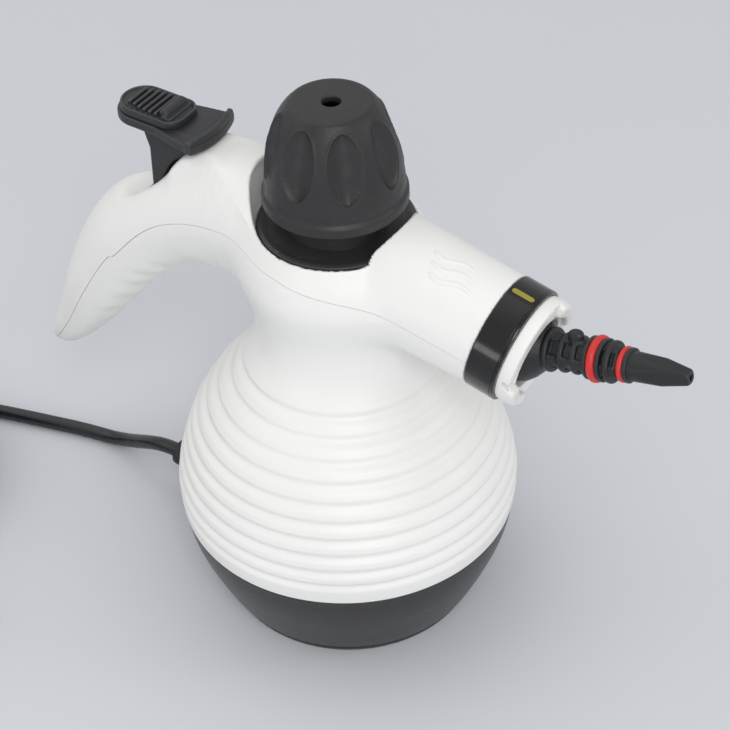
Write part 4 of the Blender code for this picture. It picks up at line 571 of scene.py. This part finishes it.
# From angle, to angle, from radius, to radius, from height, to height; a zero leaves that one alone
WINDING = (
    (104, 118, COIL_START, COIL_START, 3.6, 3.6), (118, 206, COIL_START, OUTER, 3.6, LAYERS[0]),
    (480, 570, OUTER, MIDDLE, 0, 0), (840, 930, MIDDLE, INNER, 0, 0), (1110, 1200, 0, 0, LAYERS[0], LAYERS[1]),
    (1380, 1470, INNER, MIDDLE, 0, 0), (1740, 1830, MIDDLE, OUTER, 0, 0), (2010, 2100, 0, 0, LAYERS[1], LAYERS[2]),
    (2280, 2370, OUTER, MIDDLE, 0, 0), (2640, 2730, MIDDLE, INNER, 0, 0), (2910, 3000, 0, 0, LAYERS[2], LAYERS[3]),
    (3180, 3270, INNER, MIDDLE, 0, 0), (3540, 3630, MIDDLE, OUTER, 0, 0), (3900, 3990, OUTER, 51.3, 0, 0),
    (3955, 4222, 0, 0, LAYERS[3], 5.2),
)


def ease(share):
    """From 0 to 1, slow at both ends."""
    share = min(max(share, 0.0), 1.0)
    return share * share * (3.0 - 2.0 * share)


def wound_points():
    """The coil's middle line: three turns across and four layers, settled on the floor beside the tie."""
    points = []
    for angle in range(105, 4216, 15):
        radius, height = COIL_START, 3.6
        for start, end, r_from, r_to, z_from, z_to in WINDING:
            if angle >= start:
                share = ease((angle - start) / (end - start))
                if r_to:
                    radius = r_from + (r_to - r_from) * share
                if z_to:
                    height = z_from + (z_to - z_from) * share
        off_tie = abs((angle - 200.0 + 180.0) % 360.0 - 180.0)
        settled = 1.25 * (1.0 - ease((70.0 - off_tie) / 50.0)) * ease((angle - 118.0) / 90.0)
        settled *= 1.0 - ease((angle - 3955.0) / 120.0)
        turn = math.radians(angle)
        points.append((COIL[0] + radius * math.cos(turn), COIL[1] + radius * math.sin(turn), height - settled))
    return points


def build_cord():
    """The cord as one curve, from the base to the plug."""
    route = list(CORD_ROUTE) + wound_points() + list(CORD_TAIL)
    curve = bpy.data.curves.new("power_lead", "CURVE")
    curve.dimensions = "3D"
    curve.resolution_u = 5
    curve.bevel_depth = 3.1 * MM
    curve.bevel_resolution = 7
    curve.use_fill_caps = True
    line = curve.splines.new("BEZIER")
    line.bezier_points.add(len(route) - 1)
    for spot, place in zip(line.bezier_points, route):
        spot.co = Vector(place) * MM
        spot.handle_left_type = spot.handle_right_type = "AUTO"
    curve.materials.append(CORD)
    lead = bpy.data.objects.new("power_lead", curve)
    bpy.context.scene.collection.objects.link(lead)
    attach(lead, "root")
    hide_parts("power_cord", "power_cord_coil", "power_cord_tail")


# ---- floor and light
def build_stage():
    floor = bpy.data.meshes.new("floor")
    reach = 6.0
    corners = [(-reach, -reach, 0), (reach, -reach, 0), (reach, reach, 0), (-reach, reach, 0)]
    floor.from_pydata(corners, [], [(0, 1, 2, 3)])
    ground = bpy.data.objects.new("floor", floor)
    bpy.context.scene.collection.objects.link(ground)
    made = bpy.data.materials.new("floor_paper")
    made.use_nodes = True
    tree = made.node_tree
    shader = tree.nodes["Principled BSDF"]
    shader.inputs["Roughness"].default_value = 0.9
    shader.inputs["Specular IOR Level"].default_value = 0.1
    place = tree.nodes.new("ShaderNodeTexCoord")
    spots = tree.nodes.new("ShaderNodeTexNoise")
    spots.inputs["Scale"].default_value = 3.0
    tree.links.new(place.outputs["Object"], spots.inputs["Vector"])
    ramp = tree.nodes.new("ShaderNodeMix")
    ramp.data_type = "RGBA"
    ramp.inputs[6].default_value = shade((203, 206, 212))
    ramp.inputs[7].default_value = shade((210, 212, 217))
    tree.links.new(spots.outputs["Fac"], ramp.inputs["Factor"])
    tree.links.new(ramp.outputs[2], shader.inputs["Base Color"])
    floor.materials.append(made)


def area(name, place, size, power):
    """A square lamp that faces the object."""
    data = bpy.data.lights.new(name, "AREA")
    data.size = size
    data.energy = power
    lamp = bpy.data.objects.new(name, data)
    bpy.context.scene.collection.objects.link(lamp)
    lamp.location = place
    way = Vector((0.0, 0.0, 0.1)) - Vector(place)
    lamp.rotation_euler = way.to_track_quat("-Z", "Y").to_euler()


def from_view(side, depth, height):
    """A place given from the camera's side: to its right, away from it and up."""
    return tuple(Matrix.Rotation(AZIMUTH, 3, "Z") @ Vector((side, depth, height)))


def build_light():
    world = bpy.data.worlds.new("studio")
    bpy.context.scene.world = world
    world.use_nodes = True
    back = world.node_tree.nodes["Background"]
    back.inputs["Color"].default_value = (0.985, 0.985, 0.99, 1.0)
    back.inputs["Strength"].default_value = 0.66
    for name, place, size, power in (
        ("top_box", (-0.5, 0.5, 1.6), 1.8, 5.0), ("front_box", (0.35, -1.6, 0.9), 1.2, 8.5),
        ("key_box", (0.1, -1.2, 1.45), 0.45, 4.2), ("left_box", (-1.5, 0.0, 1.2), 1.0, 1.5),
        ("right_box", (1.35, -0.2, 0.8), 0.4, 1.6), ("low_box", (-0.95, -0.9, 0.25), 0.3, 0.9),
    ):
        area(name, from_view(*place), size, power)


# ---- turned and laid forms
def fillet(corners, loop=True):
    """Rounds the corners (radius, height, fillet) of a profile; the solid lies on its left."""
    spots = [np.array(c[:2], float) for c in corners]
    n = len(spots)
    points, normals = [], []
    for i, here in enumerate(spots):
        a, b = here - spots[i - 1], spots[(i + 1) % n] - here
        la, lb = np.linalg.norm(a), np.linalg.norm(b)
        a, b = a / la, b / lb
        if not loop and i in (0, n - 1):
            way = a if i else b
            points.append(here)
            normals.append((way[1], -way[0]))
            continue
        turn = math.atan2(a[0] * b[1] - a[1] * b[0], a @ b)
        slant = abs(math.tan(turn / 2))
        size = min(corners[i][2], 0.45 * min(la, lb) / max(slant, 1e-6))
        sign = 1.0 if turn > 0 else -1.0
        centre = here - a * size * slant + sign * size * np.array([-a[1], a[0]])
        count = max(1, round(5 * abs(turn) / 1.2)) if size > 0.02 else 1
        for step in range(count + 1):
            c, s = math.cos(turn * step / count), math.sin(turn * step / count)
            out = np.array([a[1] * c + a[0] * s, a[1] * s - a[0] * c])
            points.append(centre + sign * size * out)
            normals.append(out)
    return np.array(points), np.array(normals)


def revolve(profile, outward, count, loop=True):
    """A profile (radius, height) turned about the height axis, with its faces and normals."""
    angle = (np.arange(count) * math.tau / count)[:, None]
    points, normals = (np.stack([v[:, 0] * np.cos(angle), v[:, 0] * np.sin(angle), v[:, 1] + 0.0 * angle], 2)
                       for v in (profile, outward))
    faces = lattice(count, len(profile), loop)
    double = np.linalg.norm(np.roll(profile, -1, 0) - profile, axis=1) < 1e-6
    faces = faces[~double[faces[:, 0] % len(profile)]]
    return points.reshape(-1, 3), faces, normals.reshape(-1, 3)


def turned(corners, count=192, loop=True):
    """A form turned about the height axis, from rounded corners."""
    return revolve(*fillet(corners, loop), count, loop)


def laid(mesh, origin, way):
    """A mesh from its own axes (along, side, up) to the object's, in the XZ plane."""
    points, faces, normals = mesh
    axes = np.array([[way[0], 0.0, way[2]], [0.0, 1.0, 0.0], [-way[2], 0.0, way[0]]])
    return np.array(origin) + points @ axes, faces, None if normals is None else normals @ axes


def spun(mesh):
    """A turned mesh whose height now runs along."""
    points, faces, normals = mesh
    return points[:, [2, 0, 1]], faces, normals[:, [2, 0, 1]]


BARREL_ROOT = (0.0, 0.0, AXIS_HEIGHT)
BARREL_WAY = (math.cos(TILT), 0.0, -math.sin(TILT))


def outline_distance(x, z, corners):
    """Signed distance to a closed outline."""
    best = None
    inside = np.zeros(np.broadcast(x, z).shape, bool)
    n = len(corners)
    for i in range(n):
        ax, az = corners[i]
        bx, bz = corners[(i + 1) % n]
        dx, dz = bx - ax, bz - az
        t = np.clip(((x - ax) * dx + (z - az) * dz) / (dx * dx + dz * dz), 0.0, 1.0)
        away = (x - ax - t * dx) ** 2 + (z - az - t * dz) ** 2
        best = away if best is None else np.minimum(best, away)
        if az != bz:
            crossed = ((az > z) != (bz > z)) & (x < dx * (z - az) / dz + ax)
            inside = inside ^ crossed
    return np.where(inside, -1.0, 1.0) * np.sqrt(best)


# ---- cap and collar
CAP_SIDE = spline([
    (185.6, 26.4), (187.4, 26.4), (188.7, 26.35), (189.2, 26.15), (189.7, 25.75), (190.2, 25.4), (191.0, 25.25),
    (193.2, 25.2), (195.0, 25.05), (196.8, 24.8), (198.4, 24.6), (200.5, 24.4), (203.0, 24.1), (208.0, 23.3),
    (212.0, 22.1), (216.0, 20.7), (219.0, 19.2), (221.5, 17.6), (223.2, 16.3), (224.3, 15.3),
], 170)


def build_cap():
    """The cap's outer shell: a skirt with a bead, eight long flutes and a flat top with its vent hole."""
    rows = [(24.2, 186.4), (24.4, 185.5), (24.8, 185.05), (25.6, 185.0), (26.2, 185.15)]
    rows += [(radius, height) for height, radius in CAP_SIDE]
    rows += [(14.8, 224.68), (14.2, 224.88), (13.5, 224.98), (12.5, 225.0), (8.0, 225.0), (4.2, 225.0),
             (3.7, 224.9), (3.35, 224.5), (3.3, 223.5), (3.3, 222.6)]
    radius, height = np.array(rows).T[:, None]
    count, flutes = 448, 8
    angle = (np.arange(count) * math.tau / count)[:, None]
    pitch = math.tau / flutes
    across = ((angle + pitch / 2) % pitch - pitch / 2) * radius
    middle, half_height, half_width = 209.6, 12.6, 6.7
    up = (height - middle) / half_height
    bow = np.sqrt(np.clip(1.0 - up ** 2, 0.0, 1.0))
    width = half_width * bow * (1.0 - 0.16 * np.clip(-up, 0.0, 1.0) ** 2)
    depth = 3.1 * bow * np.clip(1.0 - (across / np.maximum(width, 0.05)) ** 2, 0.0, 1.0)
    off_rim = (np.sqrt((across / half_width) ** 2 + up ** 2) - 1.0) * half_width
    depth = depth - 0.2 * np.exp(-(off_rim / 0.4) ** 2)
    depth = depth * ((height > 194.0) & (height < 223.4) & (radius > 14.8))
    lean = math.radians(15.0)
    r = radius - depth * math.cos(lean)
    points = np.stack([r * np.cos(angle), r * np.sin(angle), height - depth * math.sin(lean)], 2)
    normals = unit(np.cross(np.roll(points, -1, 0) - np.roll(points, 1, 0), np.gradient(points, axis=1)))
    mesh = points.reshape(-1, 3), lattice(count, len(rows)), normals.reshape(-1, 3)
    make("cap_shell_skin", mesh, ["cap_shell"], CAP, "cap_outer")


def build_collar():
    corners = [
        (28.9, 171.35, 0.3), (28.9, 174.6, 0.5), (27.3, 174.9, 0.8), (25.0, 174.3, 2.0), (17.75, 174.2, 0.1),
        (17.75, 183.0, 0.4), (15.05, 183.0, 0.3), (15.05, 171.35, 0.2),
    ]
    make("collar_dish", turned(corners, 224), ["filler_collar"], COLLAR)


# ---- band, ring and nozzle
BAND_RADIUS = 21.8


def build_band():
    """The glossy band, and its printed mark: a thin rounded bar that lies on it."""
    corners = [
        (BAND_RADIUS, 68.5, 0.45), (BAND_RADIUS, 78.9, 0.3), (21.55, 79.1, 0.15), (21.55, 79.4, 0.15),
        (21.85, 79.6, 0.25), (21.7, 80.25, 0.3), (20.4, 80.25, 0.2), (20.4, 68.5, 0.2),
    ]
    mesh = laid(spun(turned(corners, 224)), BARREL_ROOT, BARREL_WAY)
    make("band_gloss", mesh, ["alignment_band"], GLOSS)
    half, radius, steps = 3.2, 1.15, 33
    end = np.repeat((1.0, -1.0), steps)
    w = math.pi * np.concatenate([np.linspace(-0.5, 0.5, steps), np.linspace(0.5, 1.5, steps)])
    rings = ((0.0, 0.10), (0.55, 0.10), (0.86, 0.10), (0.96, 0.075), (1.0, 0.02), (1.0, -0.12))
    points, normals = [], []
    for scale, lift in rings:
        along = 74.0 + scale * radius * np.cos(w) + end * half * min(1.0, 0.15 + scale)
        angle = math.radians(1.1) + scale * radius * np.sin(w) / BAND_RADIUS
        reach = BAND_RADIUS + lift
        points.append(np.stack([along, -reach * np.sin(angle), reach * np.cos(angle)], 1))
        normals.append(np.stack([0.0 * w, -np.sin(angle), np.cos(angle)], 1))
    faces = lattice(len(rings), 2 * steps, True, False)[:, ::-1]
    mesh = np.concatenate(points), faces, np.concatenate(normals)
    make("band_mark", laid(mesh, BARREL_ROOT, BARREL_WAY), [], MARK)


def build_strokes():
    """Three raised wavy strokes on top of the barrel, a plain sign for steam."""
    bend = math.pi * np.arange(9) / 8
    across = np.append(np.cos(bend), (-0.9, 0.9))
    lift = np.append(np.sin(bend), (-0.5, -0.5))
    rows, long, swing = 41, 17.0, math.radians(3.4)
    share = np.linspace(0.0, 1.0, rows)[:, None]
    taper = np.sqrt(np.maximum(1.0 - (2.0 * share - 1.0) ** 8, 0.0)) + 0.02
    face = lattice(rows, len(across), True, False)[:, ::-1]
    points, faces = [], []
    for stroke, spread in enumerate((7.0, 18.0, 29.0)):
        along = 39.0 + long * share + 1.5 * stroke
        size = barrel_radius(along, 20.0)
        slope = np.arctan(swing * math.tau / long * np.cos(math.tau * share) * size)
        side = 0.85 * taper * across
        turn = math.radians(spread) + swing * np.sin(math.tau * share) + side * np.cos(slope) / size
        reach = size + 0.36 * taper * lift + 0.02
        spots = [along - side * np.sin(slope), -reach * np.sin(turn), reach * np.cos(turn)]
        points.append(np.stack(spots, 2).reshape(-1, 3))
        faces.append(face + stroke * rows * len(across))
    mesh = np.concatenate(points), np.concatenate(faces), None
    make("steam_strokes", laid(mesh, BARREL_ROOT, BARREL_WAY), [], WHITE)


def from_angle(angle, degrees):
    """How far an angle lies from a given one, in radians."""
    return np.abs((angle - math.radians(degrees) + math.pi) % math.tau - math.pi)


def ring_field(x, y, z):
    """The bayonet ring, about the barrel's axis: a grooved face, two lugs and two notches."""
    r = np.sqrt(y ** 2 + z ** 2)
    base = common(slab(r, 17.15, 3.35), slab(x, 82.9, 2.45), 0.5)
    base = cut_from(base, np.maximum(slab(r, 19.4, 0.22), 84.7 - x), 0.3)
    angle = np.arctan2(z, y)
    for middle in (40.0, 220.0):
        lug = common(slab(r, 17.7, 2.6), (from_angle(angle, middle) - math.radians(30.0)) * r, 1.8)
        base = smooth_union(base, common(lug, slab(x, 85.0, 2.9), 1.6), 0.8)
    for middle in (4.0, 184.0):
        notch = np.maximum((from_angle(angle, middle) - 0.07) * r, 82.6 - x)
        base = cut_from(base, common(notch, 15.2 - r, 0.2), 0.3)
    return base


def build_ring():
    mesh = grid_mesh(ring_field, (79.5, -21.5, -21.5), (89.0, 21.5, 21.5), step=0.42)
    make("ring_front", laid(mesh, BARREL_ROOT, BARREL_WAY), ["bayonet_ring"], WHITE)


NOZZLE_TILT = math.radians(10.8)
NOZZLE_WAY = (math.cos(NOZZLE_TILT), 0.0, math.sin(NOZZLE_TILT))
NOZZLE_ROOT = (77.3 * math.cos(TILT), 0.0, AXIS_HEIGHT - 77.3 * math.sin(TILT))
# Each seal's place along the nozzle, its radius and its section's radius
SEALS = ((32.3, 8.45, 1.7), (42.5, 6.4, 1.2))


def nozzle_field(x, y, z):
    """In the nozzle's own axes: along, side and up."""
    r = np.sqrt(y ** 2 + z ** 2)
    solid = common(r - 5.2, slab(x, 24.0, 22.5), 0.4)
    bell_radius = np.interp(x, [2.0, 5.0, 8.0, 11.0, 13.0, 15.0], [13.6, 13.1, 11.4, 8.9, 7.4, 6.6])
    bell = common((r - bell_radius) * 0.75, slab(x, 8.4, 6.2), 0.8)
    solid = smooth_union(solid, bell, 0.8)
    for spot, radius in ((14.3, 8.0), (20.0, 7.2), (24.9, 7.0), (38.0, 7.6)):
        solid = smooth_union(solid, common(r - radius, slab(x, spot, 1.1), 1.0), 0.5)
    for spot, radius, section in SEALS:
        for side in (-1.0, 1.0):
            rise = 0.15 if spot > 40.0 and side > 0.0 else 0.7
            wall = slab(x, spot + side * (section + 0.75), 0.8)
            solid = smooth_union(solid, common(r - (radius - rise), wall, 0.5), 0.3)
    web = np.minimum(np.abs(y), np.abs(z)) - 2.1
    web = common(common(web, r - np.where(x < 30.0, 6.7, 6.3), 0.6), slab(x, 27.5, 13.2), 0.4)
    solid = smooth_union(solid, web, 0.7)
    nub = common(bar(x / 1.3, y, 24.4 / 1.3, 0.0, 2.3), slab(z, 5.0, 5.2), 2.2)
    solid = smooth_union(solid, nub, 0.7)
    tip_radius = np.interp(x, [44.0, 45.8, 57.0, 66.9], [5.35, 5.3, 4.9, 2.8])
    tip = common((r - tip_radius) * 0.96, slab(x, 55.5, 11.4), 1.0)
    flats = np.maximum(np.abs(y), np.abs(z)) - np.interp(x, [47.0, 50.0, 57.5, 66.9], [6.0, 5.0, 3.9, 2.3])
    solid = np.minimum(solid, common(tip, flats, 0.25))
    for spot, radius, section in SEALS:
        seat = np.maximum(radius - 2 * section - 0.02 - r, slab(x, spot, section + 0.03))
        solid = np.where(np.abs(x - spot) < section + 1.2, cut_from(solid, seat, 0.15), solid)
    return cut_from(solid, np.maximum(r - 1.15, 57.0 - x), 0.3)


def build_nozzle():
    """The nozzle, its flange in the barrel's front, and its two seals."""
    mesh = grid_mesh(nozzle_field, (1.5, -14.5, -14.5), (68.5, 14.5, 14.5), step=0.42)
    make("nozzle_spout", laid(mesh, NOZZLE_ROOT, NOZZLE_WAY), ["nozzle"], NOZZLE)
    corners = [(17.15, 76.75, 0.3), (17.15, 80.25, 0.3), (13.2, 80.3, 0.4), (13.2, 83.1, 0.8), (3.0, 83.1, 0.1),
               (3.0, 76.75, 0.1)]
    mesh = laid(spun(turned(corners, 160)), BARREL_ROOT, BARREL_WAY)
    make("nozzle_flange", mesh, ["nozzle"], NOZZLE)
    w = math.tau * np.arange(28) / 28
    round_way = np.stack([np.cos(w), np.sin(w)], 1)
    for name, (spot, radius, section) in zip(("nozzle_seal_rear", "nozzle_seal_front"), SEALS):
        mesh = revolve((radius - section, spot) + section * round_way, round_way, 128)
        make(name + "_ring", laid(spun(mesh), NOZZLE_ROOT, NOZZLE_WAY), [name], RED)


# ---- lever and slider
LEVER_WAY = (math.cos(math.radians(1.5)), 0.0, -math.sin(math.radians(1.5)))
PIN = (-52.0, 0.0, 185.0)
STEM_HALF = 5.5
# The stem's outline, about the pin
STEM = [(-27.6, 7.8), (-27.6, -28.7), (-22.4, -28.7), (-22.4, -18.8), (-21.2, -14.2), (-19.3, -10.3), (-17.4, -7.4),
        (-15.2, -5.2), (-12.2, -3.4), (-9.0, -2.1), (-4.5, 7.8)]


def lever_field(x, y, z):
    """The lever about its pin: a plate with a front lip, a stem and the pin's lug."""
    wide = np.interp(x, [-45.0, -21.2, -12.0, -5.0, -1.8, 2.0], [10.0, 10.0, 11.9, 13.2, 13.8, 13.9])
    plan = np.where(x < -32.8, bar(x, y, -32.8, 0.0, 10.0), np.abs(y) - wide)
    front = x - (1.2 - 3.0 * (y / 13.8) ** 2)
    plan = common(plan, front, 1.0)
    plate = common(plan, slab(z, 7.8, 1.8), 0.8)
    lip = common(slab(front, -1.3, 1.25), plan, 0.4)
    crest = 12.2 - 0.9 * np.clip((np.abs(y) - 6.0) / 8.0, 0.0, 1.0) ** 2
    lip = common(lip, np.maximum(z - crest, 7.0 - z), 0.9)
    solid = smooth_union(plate, lip, 0.9)
    stem = common(outline_distance(x, z, STEM), slab(y, 0.0, STEM_HALF), 0.9)
    flare = outline_distance(x, z, [(-31.5, 7.0), (-27.6, -4.5), (-14.0, -4.0), (-6.0, 7.0)])
    stem = np.minimum(stem, common(flare, slab(y, 0.0, STEM_HALF), 1.0))
    solid = smooth_union(solid, stem, 3.2)
    off_pin = np.sqrt(x ** 2 + z ** 2)
    lug = np.minimum(off_pin - 4.2, np.maximum(slab(x, -4.2, 4.2), np.maximum(z - 7.8, -z)))
    solid = smooth_union(solid, common(lug, slab(y, 0.0, STEM_HALF), 0.5), 0.8)
    solid = cut_from(solid, off_pin - 1.7, 0.1)
    solid = np.maximum(solid, -np.maximum(4.6 - off_pin, np.maximum(z - 5.4, -x - 2.0)))
    return cut_from(solid, np.maximum(off_pin - 3.7, slab(y, 0.0, 2.6)), 0.1)


def slider_field(x, y, z):
    """The lock slider: a tray with a rim, steps, a bar, rows of dots and ribs."""
    base = np.where(x < -32.4, bar(x, y, -32.4, 0.0, 9.2), np.abs(y) - 9.2)
    nose = np.sqrt(np.maximum(x + 18.5, 0.0) ** 2 + np.maximum(np.abs(y) - 2.7, 0.0) ** 2) - 6.5
    base = common(base, nose, 0.6)
    tray = common(base, slab(z, 10.9, 1.25), 0.7)
    rim = common(slab(base, -0.75, 0.55), slab(z, 11.9, 0.8), 0.4)
    solid = smooth_union(tray, rim, 0.3)
    for edge, top in ((-15.4, 13.1), (-17.0, 13.9)):
        step = common(common(base + 1.6, x - edge, 0.4), slab(z, top - 1.5, 1.5), 0.4)
        solid = smooth_union(solid, common(step, -19.0 - x, 0.4), 0.3)
    grip = common(common(slab(x, -19.0, 1.9), slab(y, 0.0, 6.5), 1.2), slab(z, 12.7, 2.75), 1.6)
    solid = smooth_union(solid, grip, 0.6)
    for dot in range(7):
        side = np.abs(y) - 7.6 + 0.25 * max(0, dot - 3)
        spot = np.sqrt((x + 20.4 + 2.6 * dot) ** 2 + side ** 2 + (z - 12.3) ** 2)
        solid = smooth_union(solid, spot - 0.5, 0.25)
    for rib in range(6):
        one = common(slab(x, -22.4 - 2.6 * rib, 0.62), slab(y, 0.0, 6.9 * min(1.0, 1.22 - 0.09 * rib)), 0.5)
        solid = smooth_union(solid, common(one, slab(z, 12.2, 1.6), 0.5), 0.25)
    return solid


def build_lever():
    """The lever and the lock slider on it."""
    mesh = grid_mesh(lever_field, (-44.5, -15.5, -30.5), (6.0, 15.5, 14.0), step=0.5)
    make("lever_body", laid(mesh, PIN, LEVER_WAY), ["trigger_lever"], LEVER, "lever")
    mesh = grid_mesh(slider_field, (-43.0, -10.5, 8.8), (-10.5, 10.5, 16.5), step=0.36)
    make("slider_body", laid(mesh, PIN, LEVER_WAY), ["lock_slider"], LEVER, "slider")


# ---- base and strain relief
CORD_HEIGHT = 19.0
# The bowl (height, radius)
BOWL = spline([(0.0, 50.2), (11.1, 55.7), (26.6, 62.0), (36.0, 64.8), (44.3, 66.2)], 120)


def base_field(x, y, z):
    """The base bowl, open at the top, with its standing ring, screw bosses and cord outlet."""
    r = np.sqrt(x ** 2 + y ** 2)
    side = np.interp(z, BOWL[:, 0], BOWL[:, 1])
    line = 0.7 * np.exp(-((z - 3.4) / 0.55) ** 2)
    solid = common((r - side + line) * 0.93, slab(z, 22.15, 22.15), 0.7)
    inner = common((r - side + 2.6) * 0.93, 2.4 - z, 2.0)
    solid = cut_from(solid, inner, 0.3)
    solid = cut_from(solid, common(r - 45.0, z - 0.6, 0.3), 0.4)
    for k in range(3):
        turn = math.tau * k / 3
        out = bar(x, y, 37.0 * math.cos(turn), 37.0 * math.sin(turn), 0.0)
        solid = smooth_union(solid, common(out - 5.8, slab(z, 3.4, 2.8), 0.4), 0.5)
        solid = cut_from(solid, np.minimum(out - 1.8, np.maximum(out - 3.5, z - 3.3)), 0.2)
    hole = np.maximum(bar(y, z, 0.0, CORD_HEIGHT, 6.3), x + 40.0)
    return cut_from(solid, hole, 0.3)


def build_base():
    mesh = grid_mesh(base_field, (-68.0, -68.0, -1.2), (68.0, 68.0, 45.6), step=1.0)
    make("base_bowl", mesh, ["base_cover"], BASE)


def build_relief():
    """The ribbed boot round the cord where it leaves the base."""
    length, radius, root = 25.3, 6.2, 63.2
    # Each ridge and neck: share of the length, share of the radius, and its fillet
    shares = [
        (0.0, 1.38, 0.25), (0.085, 1.38, 0.3), (0.100, 1.12, 0.2), (0.300, 1.06, 0.3), (0.320, 0.86, 0.2),
        (0.380, 0.86, 0.2), (0.400, 1.03, 0.3), (0.500, 1.00, 0.3), (0.520, 0.82, 0.2), (0.580, 0.82, 0.2),
        (0.600, 0.97, 0.3), (0.700, 0.93, 0.3), (0.720, 0.66, 0.2), (0.780, 0.66, 0.3), (0.800, 0.84, 0.4),
        (0.890, 0.90, 0.5), (0.960, 0.86, 0.5), (1.000, 0.58, 0.3),
    ]
    corners = [(3.3, 52.0, 0.1), (6.15, 52.0, 0.2), (6.15, root, 0.05)]
    corners += [(radius * wide, root + length * share, round_by) for share, wide, round_by in shares]
    corners += [(3.15, 88.5, 0.15)]
    mesh = laid(spun(turned(corners, 96)), (0.0, 0.0, CORD_HEIGHT), (-1.0, 0.0, 0.0))
    make("relief_boot", mesh, ["strain_relief"], RUBBER)


def build_plug():
    """The plug's grooved body, and its bright round pins with rounded ends."""
    start, turn, pin_off = np.array((-174.4, -124.9, 18.4)), math.radians(-8.0), 9.5
    c, s = math.cos(turn), math.sin(turn)
    axes = np.array([[-s, c, 0.0], [0.0, 0.0, 1.0], [c, s, 0.0]])
    corners = [
        (3.0, 0.0, 0.0), (7.5, 0.0, 0.8), (9.0, 11.4, 0.6), (10.8, 12.9, 0.6), (11.0, 15.2, 0.4), (10.5, 15.7, 0.3),
        (10.5, 16.5, 0.3), (11.2, 17.0, 0.4), (11.3, 18.8, 0.4), (10.8, 19.3, 0.3), (10.8, 20.1, 0.3),
        (11.6, 20.6, 0.4), (11.9, 23.5, 3.0), (16.6, 28.1, 2.0), (18.0, 30.4, 1.2), (18.0, 37.0, 1.0),
        (17.2, 38.0, 0.6), (0.05, 38.0, 0.0),
    ]
    points, faces, normals = turned(corners, 144, False)
    make("plug_body", (start + points @ axes, faces, normals @ axes), ["power_plug"], RUBBER)
    points, faces, normals = turned([(2.45, 37.9, 0.0), (2.45, 57.0, 0.9), (0.05, 57.0, 0.0)], 48, False)
    both = np.concatenate([points - (pin_off, 0.0, 0.0), points + (pin_off, 0.0, 0.0)])
    mesh = (start + both @ axes, np.concatenate([faces, faces + len(points)]),
            np.concatenate([normals, normals]) @ axes)
    make("plug_pins", mesh, [], STEEL)


# ---- making
dress_nodes()
build_plug()
build_cord()
build_housings(WHITE)
build_cap()
build_collar()
build_band()
build_strokes()
build_ring()
build_nozzle()
build_lever()
build_base()
build_relief()
build_stage()
build_light()
